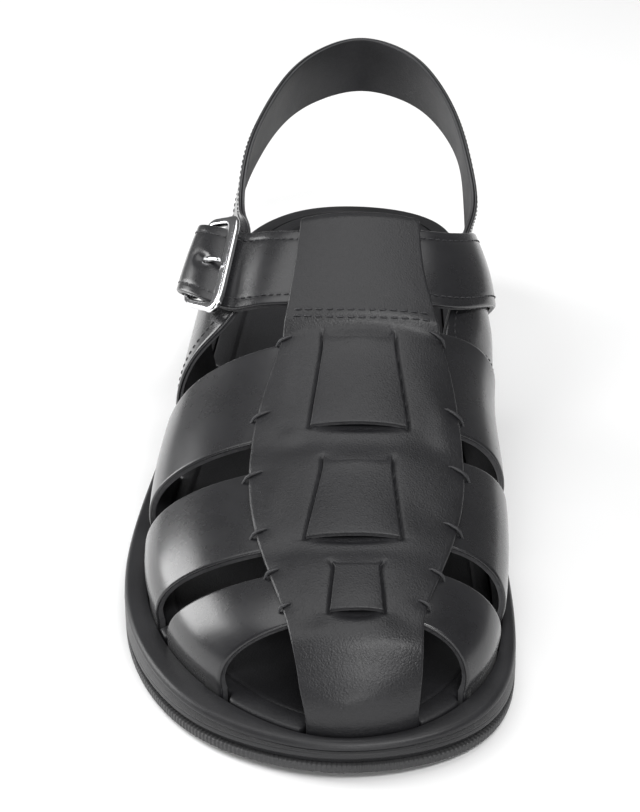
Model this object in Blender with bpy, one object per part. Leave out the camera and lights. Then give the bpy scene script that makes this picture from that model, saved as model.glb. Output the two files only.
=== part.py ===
"""Fisherman sandal, a man's right shoe, empty and standing on its sole.

The shoe is drawn in millimetres in its own drawing frame: x across from the sole's long axis (plus is the
big toe's side), y back from the tip of the toe, z up from the ground. place() moves that frame so that the
origin is under the middle of the shoe, with the toe towards -Y, and turns it into metres.

Everything comes from two tables. SOLE_ROWS is the outline of the sole, with its ledge, from toe to heel.
LAST_ROWS is the crown of the last that the straps are drawn over. A place on the last is a station, counted
in millimetres back from the toe, and a turn across it: -1 at the outer foot of the section, 0 on the crown
and 1 at its inner foot. The straps are panels between edges drawn in stations and turns.
"""

import bmesh
import bpy
import numpy as np

MM = 0.001
LENGTH = 292.0
CENTRE_X = -7.26

# Sole
GAP = 0.3
OUTSOLE_THICK = 2.6
TOE_SPRING = 2.6
TOE_SPRING_END = 48.0
ARCH_RISE = 2.4
ARCH_START = 98.0
ARCH_END = 226.0
SIDE_GROOVE = 1.3
SIDE_GROOVE_TOP = 4.3
TOP_ROUND = 1.8
SLOT_DEPTH = 4.5
SLOT_WIDTH = 2.8
FREE_SLOT = 0.5
FOOTBED_RIM = 4.6
FOOTBED_DISH = 1.6
ROUND_STEPS = 104

# Leather
STRAP_THICK = 2.2
STRIP_INNER = 1.6
STRIP_THICK = 2.6
QUARTER_THICK = 2.0
BELT_INNER = 2.3
BELT_THICK = 2.0
LOOP_CLEAR = 0.4
LOOP_THICK = 1.9
FOOT_LIFT = 1.5
TUCK = 4.2

# Columns: station, outer half width, inner half width, outer ledge, inner ledge, ledge height
SOLE_ROWS = (
    (0.0, 0.0, 0.0, 3.4, 3.4, 11.6),
    (3.0, 17.0, 18.0, 4.4, 4.4, 11.6),
    (12.0, 34.3, 33.2, 6.8, 6.2, 11.7),
    (30.0, 49.8, 43.0, 7.2, 5.2, 12.0),
    (55.0, 59.6, 45.6, 6.5, 3.6, 12.4),
    (85.0, 62.0, 44.8, 6.5, 3.4, 13.2),
    (120.0, 58.4, 42.6, 6.5, 3.6, 15.0),
    (160.0, 53.0, 39.4, 6.5, 4.0, 18.0),
    (200.0, 48.8, 38.0, 6.5, 5.5, 21.5),
    (235.0, 44.4, 39.4, 6.5, 6.5, 24.0),
    (262.0, 38.0, 39.0, 6.5, 6.5, 25.0),
    (280.0, 27.6, 31.4, 6.5, 6.5, 25.0),
    (289.0, 15.4, 17.6, 6.5, 6.5, 25.0),
    (292.0, 0.0, 0.0, 6.5, 6.5, 25.0),
)

# Columns: station, crown height, outer fullness, inner fullness, outer lean, inner lean
LAST_ROWS = (
    (0.0, 13.1, 0.55, 0.55, 0.0, 0.0),
    (6.0, 25.0, 0.55, 0.55, 0.0, 0.0),
    (14.0, 30.6, 0.58, 0.58, 1.5, 1.5),
    (30.0, 35.0, 0.60, 0.60, 3.0, 4.0),
    (60.0, 41.0, 0.60, 0.60, 4.0, 7.0),
    (95.0, 50.0, 0.60, 0.60, 6.5, 13.0),
    (125.0, 61.5, 0.58, 0.60, 9.0, 15.0),
    (150.0, 75.5, 0.58, 0.62, 9.0, 23.0),
    (180.0, 88.0, 0.58, 0.62, 8.0, 19.5),
    (215.0, 93.0, 0.58, 0.60, 6.0, 16.0),
)
CROWN_X = 3.3

# Columns: turn, front edge station, back edge station
CROSS_STRAPS = {
    "first": ((-1.0, 89.0, 119.0), (-0.5, 85.0, 120.0), (0.0, 85.6, 120.3), (0.5, 92.0, 130.0), (1.0, 92.0, 136.5)),
    "second": ((-1.0, 46.5, 76.0), (-0.5, 43.0, 73.6), (0.0, 44.0, 74.2), (0.5, 48.0, 82.5), (1.0, 48.0, 87.0)),
    "third": ((-1.0, 13.8, 38.5), (-0.5, 16.0, 34.0), (0.0, 18.6, 35.2), (0.5, 17.4, 36.8), (1.0, 13.8, 38.0)),
}

# Columns: station, outer edge, inner edge, both across from the sole's axis
STRIP_ROWS = (
    (0.0, -9.6, 17.2),
    (8.0, -11.6, 17.4),
    (20.0, -15.2, 18.8),
    (32.0, -19.0, 22.4),
    (50.0, -23.6, 27.4),
    (75.0, -25.8, 30.6),
    (92.0, -24.4, 30.0),
    (119.0, -18.2, 26.4),
    (137.0, -14.8, 21.8),
    (156.0, -12.2, 20.2),
)

# Stations of the strip's rows, close together where it climbs over the belt
STRIP_STATIONS = np.array([0.0, 4.0, 9.0, 15.0, 22.0, 30.0, 40.0, 50.0, 60.0, 70.0, 80.0, 90.0, 100.0, 110.0, 117.0,
                           120.0, 122.0, 124.0, 126.0, 128.5, 134.0, 141.0, 148.0, 154.4])
LOOP_CLIMB = 120.0
LOOP_CLIMB_LENGTH = 6.5
LOOP_END = 125.8

# Columns: front station, back station, outer and inner edge at the back, outer and inner edge at the front
TABS = {
    "first": (85.6, 120.3, -5.8, 12.7, -9.8, 16.4),
    "second": (44.0, 74.2, -5.4, 11.4, -10.3, 13.7),
    "third": (18.6, 35.2, -2.6, 7.9, -3.9, 8.9),
}

# Columns: front edge station and turn, back edge station and turn, height of the inner face over the last
BELT_ROWS = (
    (168.0, 0.80, 191.0, 0.73, 0.6),
    (156.0, 0.66, 180.0, 0.59, 0.2),
    (141.0, 0.46, 163.5, 0.40, 1.2),
    (132.6, 0.27, 154.8, 0.22, 2.3),
    (130.0, 0.02, 152.5, 0.02, 2.3),
    (130.6, -0.17, 153.0, -0.14, 2.3),
    (133.8, -0.31, 157.3, -0.28, 2.3),
    (139.0, -0.44, 163.5, -0.40, 3.2),
    (151.0, -0.58, 171.5, -0.51, 9.8),
    (160.0, -0.66, 180.0, -0.58, 4.4),
    (170.0, -0.73, 190.0, -0.64, 2.7),
)

# Columns: share of the way across a tab, height of its outer face over the strip
TAB_COLUMNS = ((0.0, -1.4), (0.04, 0.9), (0.18, 1.8), (0.5, 2.0), (0.82, 1.8), (0.96, 0.9), (1.0, -1.4))

# Buckle: its two long bars by rows of the belt's table, then sizes
BUCKLE_FRONT = 6.95
BUCKLE_BACK = 8.05
BUCKLE_MARGIN = 0.09
BAR_RADIUS = 1.2
FRONT_BAR_HEIGHT = 7.3
BACK_BAR_HEIGHT = 8.3
CORNER_POWER = 0.36
PRONG_RADIUS = 0.95
PRONG_BOW = 1.5
HOLE_AT = 7.6
HOLE_WIDTH = 3.2
HOLE_LENGTH = 7.5

# Columns: front edge station and turn, back edge station and turn, height of the inner face at each edge
OUTER_QUARTER = (
    (134.0, -1.0, 178.0, -1.0, 0.0, 0.0),
    (133.6, -0.82, 178.5, -0.92, 0.0, 0.0),
    (134.0, -0.62, 181.0, -0.86, 0.0, 0.0),
    (134.6, -0.47, 186.0, -0.82, 0.0, 0.0),
    (141.0, -0.375, 191.0, -0.79, 0.0, 0.0),
    (154.0, -0.37, 196.0, -0.77, 0.0, 0.0),
    (168.0, -0.40, 200.0, -0.76, 0.0, 0.0),
)
INNER_QUARTER = (
    (139.5, 1.0, 179.0, 1.0, 0.0, 0.0),
    (138.0, 0.82, 179.5, 0.92, 0.0, 0.0),
    (131.5, 0.60, 182.0, 0.86, -2.6, -1.7),
    (123.0, 0.43, 187.0, 0.82, -2.8, -2.5),
    (128.0, 0.35, 192.0, 0.79, -2.6, -2.2),
    (146.0, 0.38, 197.0, 0.775, -2.2, -1.6),
    (164.0, 0.43, 201.0, 0.765, -1.8, -0.6),
)

# Columns: the top edge's place along, its outer and inner place across, its height, then the bottom edge's
SLING_ROWS = (
    (186.0, -31.7, 38.6, 70.5, 204.0, -37.5, 38.0, 50.5),
    (206.0, -31.6, 38.5, 77.0, 216.0, -35.0, 38.5, 58.0),
    (232.0, -26.6, 34.6, 84.5, 239.0, -30.0, 37.4, 64.8),
    (257.0, -18.6, 27.8, 88.8, 262.0, -22.2, 31.0, 68.6),
    (278.5, -6.5, 16.8, 90.6, 282.0, -8.5, 18.5, 70.4),
    (286.0, 4.9, 4.9, 91.0, 288.8, 4.9, 4.9, 70.8),
)

COLOURS = {
    "rubber": (0.016, 0.016, 0.017, 0.52, 0.0),
    "midsole": (0.021, 0.021, 0.023, 0.46, 0.0),
    "footbed": (0.028, 0.028, 0.030, 0.42, 0.0),
    "leather": (0.022, 0.022, 0.024, 0.34, 0.0),
    "strap_leather": (0.024, 0.024, 0.026, 0.32, 0.0),
    "steel": (0.78, 0.78, 0.80, 0.16, 1.0),
}


def smooth(knots, values, at):
    """Natural cubic spline: the values at the knots, joined with no jump in slope or bend."""
    x = np.asarray(knots, float)
    y = np.asarray(values, float)
    step = np.diff(x)
    count = len(x)
    matrix = np.eye(count)
    right = np.zeros(y.shape)
    for i in range(1, count - 1):
        matrix[i, i - 1:i + 2] = step[i - 1], 2 * (step[i - 1] + step[i]), step[i]
        right[i] = 6 * ((y[i + 1] - y[i]) / step[i] - (y[i] - y[i - 1]) / step[i - 1])
    bend = np.linalg.solve(matrix, right.reshape(count, -1)).reshape(y.shape)
    at = np.asarray(at, float)
    k = np.clip(np.searchsorted(x, at) - 1, 0, count - 2)
    extra = (1,) * (y.ndim - 1)
    a = ((x[k + 1] - at) / step[k]).reshape(at.shape + extra)
    b = 1 - a
    h = step[k].reshape(at.shape + extra)
    return a * y[k] + b * y[k + 1] + ((a ** 3 - a) * bend[k] + (b ** 3 - b) * bend[k + 1]) * h ** 2 / 6


def place(points):
    """Drawing millimetres to metres, with the origin on the ground under the middle of the shoe."""
    return (np.asarray(points, float) - (CENTRE_X, LENGTH / 2, 0.0)) * MM


def angle_of(station):
    """The turn round the sole, 0 at the toe and pi at the heel, whose place along the shoe is the station."""
    return np.arccos(1 - 2 * np.asarray(station, float) / LENGTH)


def station_of(angle):
    return LENGTH / 2 * (1 - np.cos(angle))


SOLE = np.array(SOLE_ROWS)
SOLE_ANGLES = angle_of(SOLE[:, 0])
LAST = np.array(LAST_ROWS)
LAST_ANGLES = angle_of(LAST[:, 0])
STRIP = np.array(STRIP_ROWS)


def round_sole(outer, inner, angle):
    """A value that runs round the sole: the outer side from toe to heel is 0 to pi, then the inner side back."""
    knots = np.concatenate([SOLE_ANGLES, 2 * np.pi - SOLE_ANGLES[-2:0:-1]])
    values = np.concatenate([outer, inner[-2:0:-1]])
    knots = np.concatenate([knots - 2 * np.pi, knots, knots + 2 * np.pi])
    return smooth(knots, np.tile(values, 3), angle)


def outline(angle, inset):
    """The sole's outline, moved inwards by the inset, as x and y."""
    def edge(a):
        return np.stack([round_sole(-SOLE[:, 1], SOLE[:, 2], a), station_of(a)], -1)
    ahead = edge(angle + 0.001) - edge(angle - 0.001)
    ahead /= np.linalg.norm(ahead, axis=-1, keepdims=True)
    inwards = np.stack([ahead[..., 1], -ahead[..., 0]], -1)
    return edge(angle) + inwards * np.asarray(inset)[..., None]


def ledge_width(angle):
    return round_sole(SOLE[:, 3], SOLE[:, 4], angle)


def ledge_height(angle):
    return round_sole(SOLE[:, 5], SOLE[:, 5], angle)


def ground_height(station):
    """The underside: the toe springs up, the waist arches, and the ball and heel lie flat on the ground."""
    spring = np.clip((TOE_SPRING_END - station) / TOE_SPRING_END, 0, 1) ** 2 * TOE_SPRING
    arch = np.clip((station - ARCH_START) / (ARCH_END - ARCH_START), 0, 1)
    return spring + ARCH_RISE * np.sin(np.pi * arch) ** 2


def last_points(angle, turn):
    """The last: on each side of the crown a curve climbs from the foot, leans out, and comes over level."""
    angle, turn = np.broadcast_arrays(np.asarray(angle, float), np.asarray(turn, float))
    outer = turn < 0
    side = np.where(outer, angle, 2 * np.pi - angle)
    foot = outline(side, ledge_width(side) + SLOT_WIDTH - GAP)
    foot_z = ledge_height(side) + FOOT_LIFT
    tip = outline(np.zeros(1), ledge_width(np.zeros(1)) + SLOT_WIDTH - GAP)[0, 1]
    column = [smooth(LAST_ANGLES, LAST[:, i], angle) for i in range(1, 6)]
    crown_z = column[0]
    full = np.where(outer, column[1], column[2])
    lean = np.where(outer, -column[3], column[4])
    crown_y = tip + station_of(angle) * (1 - tip / LENGTH)
    w = 1 - np.abs(turn)
    low = (1 - w) ** 3
    rise = 3 * (1 - w) ** 2 * w
    over = 3 * (1 - w) * w ** 2
    top = w ** 3
    x = low * foot[..., 0] + rise * (foot[..., 0] + lean) + top * CROWN_X
    x += over * (CROWN_X + full * (foot[..., 0] + lean - CROWN_X))
    y = (low + rise) * foot[..., 1] + (over + top) * crown_y
    z = (low + rise) * foot_z + rise * full * (crown_z - foot_z) + (over + top) * crown_z
    return np.stack([x, y, z], -1)


def last_normals(angle, turn):
    """Outward normals of the last."""
    small = 0.002
    along = last_points(angle + small, turn) - last_points(angle - small, turn)
    high = np.minimum(turn + small, 1.0)
    across = last_points(angle, high) - last_points(angle, np.maximum(high - 2 * small, -1.0))
    normal = np.cross(across, along)
    return normal / np.maximum(np.linalg.norm(normal, axis=-1, keepdims=True), 1e-9)


def on_last(station, turn, height):
    """Points over the last, at a station, a turn and a height over its surface."""
    angle = angle_of(station)
    return last_points(angle, turn) + last_normals(angle, turn) * np.asarray(height)[..., None]


def turn_at(angle, x):
    """The turn where the section at an angle reaches x."""
    turns = np.linspace(-1, 1, 161)
    flat_angle = np.ravel(angle)
    flat_x = np.ravel(x)
    table = last_points(flat_angle[:, None], turns[None, :])[..., 0]
    table = np.maximum.accumulate(table, axis=1)
    found = [np.interp(value, row, turns) for value, row in zip(flat_x, table)]
    return np.reshape(found, np.shape(angle))


def slab_faces(rows, columns):
    """Faces of a closed slab: an outer grid, an inner grid under it, and the rim that joins them."""
    count = rows * columns
    index = np.arange(count).reshape(rows, columns)
    quads = []
    a, b = index[:-1, :-1].ravel(), index[:-1, 1:].ravel()
    c, d = index[1:, 1:].ravel(), index[1:, :-1].ravel()
    quads.append(np.stack([a, b, c, d], 1))
    quads.append(np.stack([d, c, b, a], 1) + count)
    ring = np.concatenate([index[0, :-1], index[:-1, -1], index[-1, :0:-1], index[:0:-1, 0]])
    after = np.roll(ring, -1)
    quads.append(np.stack([after, ring, ring + count, after + count], 1))
    return np.concatenate(quads)


def closed_mesh(name, points, faces):
    """A mesh from drawing points, with doubles merged, its faces turned outwards and then triangulated."""
    mesh = bpy.data.meshes.new(name)
    mesh.from_pydata(place(points).tolist(), [], [list(f) for f in faces])
    work = bmesh.new()
    work.from_mesh(mesh)
    bmesh.ops.remove_doubles(work, verts=work.verts, dist=0.00002)
    bmesh.ops.dissolve_degenerate(work, edges=work.edges, dist=0.00001)
    bmesh.ops.triangulate(work, faces=work.faces)
    bmesh.ops.recalc_face_normals(work, faces=work.faces)
    work.to_mesh(mesh)
    work.free()
    return mesh


def add_object(name, mesh, finish):
    """One named object with its own material, shaded smooth but for its sharp edges."""
    thing = bpy.data.objects.new(name, mesh)
    bpy.context.scene.collection.objects.link(thing)
    red, green, blue, rough, metal = COLOURS[finish]
    material = bpy.data.materials.new(name + "_finish")
    material.use_nodes = True
    shader = material.node_tree.nodes["Principled BSDF"]
    shader.inputs["Base Color"].default_value = (red, green, blue, 1.0)
    shader.inputs["Roughness"].default_value = rough
    shader.inputs["Metallic"].default_value = metal
    mesh.materials.clear()
    mesh.materials.append(material)
    mesh.shade_smooth()
    mesh.set_sharp_from_angle(angle=0.7)
    return thing


def slab(name, inner, outer):
    """A closed sheet between an inner and an outer grid of points."""
    points = np.concatenate([outer.reshape(-1, 3), inner.reshape(-1, 3)])
    return closed_mesh(name, points, slab_faces(*outer.shape[:2]))


def combine(name, meshes, finish, operation="UNION"):
    """The first mesh joined with the others, or cut by them, by exact Booleans that are then applied."""
    body = bpy.data.objects.new(name + "_work", meshes[0])
    bpy.context.scene.collection.objects.link(body)
    tools = []
    for mesh in meshes[1:]:
        tool = bpy.data.objects.new(name + "_tool", mesh)
        bpy.context.scene.collection.objects.link(tool)
        tool.hide_render = True
        tool.display_type = "WIRE"
        modifier = body.modifiers.new("join", "BOOLEAN")
        modifier.operation = operation
        modifier.solver = "EXACT"
        modifier.object = tool
        tools.append(tool)
    graph = bpy.context.evaluated_depsgraph_get()
    joined = bpy.data.meshes.new_from_object(body.evaluated_get(graph))
    for tool in tools + [body]:
        bpy.data.objects.remove(tool)
    return add_object(name, joined, finish)


def ringed_body(name, rings, crossings, finish):
    """A body of rings round the sole, closed across its last ring and its first ring by ladders of quads.

    Each ring is an array of points at ROUND_STEPS even angles. A ladder joins each point of the outer side
    to the point of the inner side at the same station, with the given number of points between them.
    """
    steps = ROUND_STEPS
    points = np.concatenate(rings)
    faces = []
    index = np.arange(steps)
    after = np.roll(index, -1)
    for k in range(len(rings) - 1):
        low = k * steps
        quad = np.stack([low + index, low + after, low + steps + after, low + steps + index], 1)
        faces.extend(quad.tolist())
    for ring_number, shape in ((0, None), (len(rings) - 1, crossings)):
        ring = rings[ring_number]
        half = np.arange(1, steps // 2)
        left = ring[half]
        right = ring[steps - half]
        count = 0 if shape is None else shape[0]
        share = (np.arange(count) + 1.0) / (count + 1)
        middle = left[:, None] + (right - left)[:, None] * share[None, :, None]
        if count:
            middle[..., 2] += shape[1](half / (steps / 2.0), share)
        start = len(points)
        points = np.concatenate([points, middle.reshape(-1, 3)])
        inside = start + np.arange(len(half) * count).reshape(len(half), count)
        base = ring_number * steps
        rows = np.concatenate([(base + half)[:, None], inside, (base + steps - half)[:, None]], 1)
        for a, b in zip(rows[:-1], rows[1:]):
            faces.extend(np.stack([a[:-1], b[:-1], b[1:], a[1:]], 1).tolist())
        faces.append([base] + rows[0].tolist())
        faces.append([base + steps // 2] + rows[-1][::-1].tolist())
    return add_object(name, closed_mesh(name, points, faces), finish)


def ring(inset, height):
    """One ring round the sole, at an inset from its outline and a height over the ground."""
    angle = np.arange(ROUND_STEPS) * 2 * np.pi / ROUND_STEPS
    flat = outline(angle, inset + 0 * angle)
    return np.concatenate([flat, (height + 0 * angle)[:, None]], 1)


def make_sole():
    """Outsole and midsole, from their profiles carried round the outline."""
    angle = np.arange(ROUND_STEPS) * 2 * np.pi / ROUND_STEPS
    ground = ground_height(station_of(angle))
    top = ledge_height(angle)
    ledge = ledge_width(angle)
    outsole_top = ground + OUTSOLE_THICK
    ringed_body("outsole", [
        ring(4.0, ground),
        ring(0.8, ground),
        ring(0.1, ground + 0.7),
        ring(0.0, outsole_top - 0.4),
        ring(0.5, outsole_top),
        ring(6.0, outsole_top),
    ], None, "rubber")
    base = outsole_top + GAP
    floor = top - SLOT_DEPTH
    ringed_body("midsole", [
        ring(6.0, base),
        ring(SIDE_GROOVE, base),
        ring(SIDE_GROOVE, ground + SIDE_GROOVE_TOP - 0.3),
        ring(0.3, ground + SIDE_GROOVE_TOP + 0.3),
        ring(0.0, ground + SIDE_GROOVE_TOP + 1.2),
        ring(0.2, top - TOP_ROUND),
        ring(0.7, top - 0.5),
        ring(TOP_ROUND, top),
        ring(ledge, top),
        ring(ledge + 0.05, floor),
        ring(ledge + SLOT_WIDTH + 2.0, floor),
    ], (1, lambda along, share: 0.0 * along[:, None] * share[None, :]), "midsole")


def strap_windows(angle):
    """1 where a strap enters the slot round the footbed and 0 where the footbed reaches the ledge."""
    stations = station_of(angle)
    outer = np.sin(angle) > 0
    open_to = np.zeros(angle.shape)
    spacing = LENGTH * np.pi / ROUND_STEPS

    def window(low, high, where):
        return np.where(where & (stations > low - spacing) & (stations < high + spacing), 1.0, 0.0)
    for rows in CROSS_STRAPS.values():
        open_to = np.maximum(open_to, window(rows[0][1], rows[0][2], outer))
        open_to = np.maximum(open_to, window(rows[-1][1], rows[-1][2], ~outer))
    open_to = np.maximum(open_to, window(OUTER_QUARTER[0][0], OUTER_QUARTER[0][2], outer))
    open_to = np.maximum(open_to, window(INNER_QUARTER[0][0], INNER_QUARTER[0][2], ~outer))
    across = outline(angle, 0 * angle)[:, 0]
    toe = (stations < 20) & (across > STRIP_ROWS[0][1] - 6.0) & (across < STRIP_ROWS[0][2] + 6.0)
    return np.where(toe, 1.0, open_to)


def make_footbed():
    """The footbed: a board in the midsole's tray, with a raised rim round a shallow dish."""
    angle = np.arange(ROUND_STEPS) * 2 * np.pi / ROUND_STEPS
    top = ledge_height(angle)
    edge = ledge_width(angle) + FREE_SLOT + (SLOT_WIDTH - FREE_SLOT) * strap_windows(angle)
    rim = ledge_width(angle) + SLOT_WIDTH + FOOTBED_RIM
    floor = top - SLOT_DEPTH + GAP

    def dish(along, share):
        return 0.0 * along[:, None] - FOOTBED_DISH * (np.sin(np.pi * share) ** 0.7)[None, :]
    ringed_body("footbed", [
        ring(rim, floor),
        ring(edge, floor),
        ring(edge, top - 0.4),
        ring(edge + 0.8, top + 0.3),
        ring(rim - 0.8, top + 0.5),
        ring(rim + 0.6, top - 0.5),
    ], (5, dish), "footbed")


def tucked(points, ends=(True, True)):
    """A grid with rows added where a strap goes down into the slot, straight below its first and last row."""
    drops = np.array([0.0, 0.0, 1.0])
    parts = [points]
    if ends[0]:
        parts.insert(0, points[:1] - drops * (FOOT_LIFT + TUCK))
    if ends[1]:
        parts.append(points[-1:] - drops * (FOOT_LIFT + TUCK))
    return np.concatenate(parts)


def foot_offset(station, turn, thick):
    """The outer face beside the foot of a strap, moved level and outwards, so that the end stands upright."""
    angle = angle_of(station)
    normal = last_normals(angle, turn)
    normal[..., 2] = 0
    normal /= np.linalg.norm(normal, axis=-1, keepdims=True)
    return last_points(angle, turn) + normal * thick


def cross_strap(rows, across=5, along=27):
    """A cross strap from slot to slot over the last, as a slab between its two edges."""
    table = np.array(rows)
    turns = np.linspace(-1, 1, along)
    front = smooth(table[:, 0], table[:, 1], turns)
    back = smooth(table[:, 0], table[:, 2], turns)
    share = np.linspace(0, 1, across)
    station = front[:, None] + (back - front)[:, None] * share
    turn = turns[:, None] + 0 * station
    inner = on_last(station, turn, 0 * station)
    outer = on_last(station, turn, STRAP_THICK + 0 * station)
    for end in (0, -1):
        outer[end] = foot_offset(station[end], turn[end], STRAP_THICK)
    return slab("cross_strap", tucked(inner), tucked(outer))


def step(value):
    """A soft step from 0 to 1."""
    value = np.clip(value, 0, 1)
    return value * value * (3 - 2 * value)


def strip_edges(station):
    return smooth(STRIP[:, 0], STRIP[:, 1], station), smooth(STRIP[:, 0], STRIP[:, 2], station)


def centre_strip(across=7):
    """The centre strip: from the toe's slot, over the cross straps, round the belt as a loop and back under."""
    share = np.linspace(0, 1, across)
    top = BELT_INNER + BELT_THICK + LOOP_CLEAR
    left, right = strip_edges(0.0)
    foot_x = left + (right - left) * share
    near_toe = np.linspace(0.0, 0.5, 80)
    outer_foot = last_points(near_toe, -1.0 + 0 * near_toe)[:, 0]
    inner_foot = last_points(near_toe, 1.0 + 0 * near_toe)[:, 0]
    start = np.where(foot_x < outer_foot[0], np.interp(-foot_x, -outer_foot, near_toe),
                     np.interp(foot_x, inner_foot, near_toe))
    rows = angle_of(STRIP_STATIONS) / angle_of(STRIP_STATIONS[-1])
    angle = start[None, :] + (angle_of(STRIP_STATIONS[-1]) - start[None, :]) * rows[:, None]
    station = station_of(angle)
    left, right = strip_edges(station)
    turn = turn_at(angle, left + (right - left) * share[None, :])
    climb = step((station - LOOP_CLIMB) / LOOP_CLIMB_LENGTH)
    low = STRIP_INNER + (top - STRIP_INNER) * climb
    inner = on_last(station, turn, low)
    outer = on_last(station, turn, low + STRIP_THICK + (LOOP_THICK - STRIP_THICK) * climb)
    outer[0] = foot_offset(station[0], turn[0], STRAP_THICK)
    inner[0] = foot_offset(station[0], turn[0], 0.0)
    middle = (top + LOOP_THICK) / 2
    normal = last_normals(angle[-1], turn[-1])
    ahead = last_points(angle[-1] + 0.01, turn[-1]) - last_points(angle[-1] - 0.01, turn[-1])
    ahead /= np.linalg.norm(ahead, axis=-1, keepdims=True)
    surface = last_points(angle[-1], turn[-1])
    bends = []
    for radius in (middle - LOOP_THICK, middle):
        a = np.linspace(0, np.pi, 7)[1:, None, None]
        bends.append(surface + normal * (middle + radius * np.cos(a)) + ahead * radius * np.sin(a))
    under_station = np.linspace(STRIP_STATIONS[-1] - 4, LOOP_END, 4)[:, None] + 0 * share[None, :]
    left, right = strip_edges(under_station)
    under_turn = turn_at(angle_of(under_station), left + (right - left) * share[None, :])
    under = on_last(under_station, under_turn, LOOP_THICK + 0 * under_station)
    bottom = on_last(under_station, under_turn, 0 * under_station)
    full_inner = np.concatenate([inner, bends[0], under])
    full_outer = np.concatenate([outer, bends[1], bottom])
    return slab("strip", tucked(full_inner, (True, False)), tucked(full_outer, (True, False)))


def tab(row, along=5):
    """A raised tab, where a cross strap comes up through two slits and over the centre strip."""
    front, back, left_back, right_back, left_front, right_front = row
    share = np.array([column[0] for column in TAB_COLUMNS])
    rise = np.array([column[1] for column in TAB_COLUMNS])
    station = np.linspace(front, back, along)[:, None] + 0 * share[None, :]
    place_along = (station - front) / (back - front)
    left = left_front + (left_back - left_front) * place_along
    right = right_front + (right_back - right_front) * place_along
    angle = angle_of(station)
    turn = turn_at(angle, left + (right - left) * share[None, :])
    base = STRIP_INNER + STRIP_THICK
    outer = on_last(station, turn, base + rise[None, :] + 0 * station)
    inner = on_last(station, turn, base - 1.9 + 0 * station)
    return slab("tab", inner, outer)


def seam_block():
    """The sewn joint in front of the belt, where the end of the loop lies under the strip."""
    share = np.linspace(0, 1, 5)
    station = np.linspace(118.0, 127.4, 4)[:, None] + 0 * share[None, :]
    left, right = strip_edges(station)
    turn = turn_at(angle_of(station), left + 0.8 + (right - left - 1.6) * share[None, :])
    return slab("seam", on_last(station, turn, 0.5 + 0 * station), on_last(station, turn, 3.1 + 0 * station))


def make_upper():
    """The woven front: centre strip, three cross straps, their tabs and the loop, as one joined wall."""
    meshes = [centre_strip(), seam_block()]
    meshes += [cross_strap(rows) for rows in CROSS_STRAPS.values()]
    meshes += [tab(row) for row in TABS.values()]
    combine("upper", meshes, "leather")


def panel_grid(rows, along, across, extra=0.0):
    """Stations, turns and heights of a panel whose table gives its two edges, row by row."""
    table = np.array(rows)
    knots = np.arange(len(table), dtype=float)
    at = np.linspace(0, len(table) - 1, along)
    line = smooth(knots, table, at)
    share = np.linspace(-extra, 1 + extra, across)
    station = line[:, :1] + (line[:, 2:3] - line[:, :1]) * share
    turn = line[:, 1:2] + (line[:, 3:4] - line[:, 1:2]) * share
    height = line[:, 4:5] + (line[:, 5:6] - line[:, 4:5]) * step((share - 0.08) / 0.35)
    return station, np.clip(turn, -1, 1), height


def make_back_strap(across=6):
    """The quarters and the heel strap: one band from the outer slot, round the heel, to the inner slot."""
    thick = QUARTER_THICK
    sides = []
    for rows in (OUTER_QUARTER, INNER_QUARTER):
        station, turn, height = panel_grid(rows, 13, across)
        inner = on_last(station, turn, height)
        outer = on_last(station, turn, height + thick)
        outer[0] = foot_offset(station[0], turn[0], thick)
        sides.append((inner, outer))
    sling = np.array(SLING_ROWS)
    share = np.linspace(0, 1, across)[None, :]

    def sling_rows(side):
        top = sling[:, [1 + side, 0, 3]]
        bottom = sling[:, [5 + side, 4, 7]]
        return top[:, None] + (bottom - top)[:, None] * share[..., None]
    outer_sling = sling_rows(0)
    inner_sling = sling_rows(1)[-2::-1]
    keys = np.concatenate([sides[0][0][[8, 10, 12]], outer_sling, inner_sling, sides[1][0][[12, 10, 8]]])
    length = np.concatenate([[0], np.cumsum(np.linalg.norm(np.diff(keys[:, across // 2], axis=0), axis=-1))])
    at = np.linspace(length[2], length[-3], 35)[1:-1]
    round_heel = smooth(length, keys, at)
    along_way = smooth(length, keys, at + 0.5) - smooth(length, keys, at - 0.5)
    across_way = np.gradient(round_heel, axis=1)
    normal = np.cross(across_way, along_way)
    normal /= np.linalg.norm(normal, axis=-1, keepdims=True)
    middle = len(at) // 2
    if normal[middle, across // 2, 1] < 0:
        normal = -normal
    inner = np.concatenate([tucked(sides[0][0], (True, False)), round_heel, tucked(sides[1][0], (True, False))[::-1]])
    outer = np.concatenate([tucked(sides[0][1], (True, False)), round_heel + normal * thick,
                            tucked(sides[1][1], (True, False))[::-1]])
    add_object("back_strap", slab("back_strap", inner, outer), "strap_leather")


def belt_point(q, c, height):
    """A point over the belt's path: q counts the rows of its table and c runs from its front to its back edge."""
    q, c, height = np.broadcast_arrays(np.asarray(q, float), np.asarray(c, float), np.asarray(height, float))
    table = np.array(BELT_ROWS)
    line = smooth(np.arange(len(table), dtype=float), table, q)
    station = line[..., 0] + (line[..., 2] - line[..., 0]) * c
    turn = line[..., 1] + (line[..., 3] - line[..., 1]) * c
    return on_last(station, turn, height)


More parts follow.
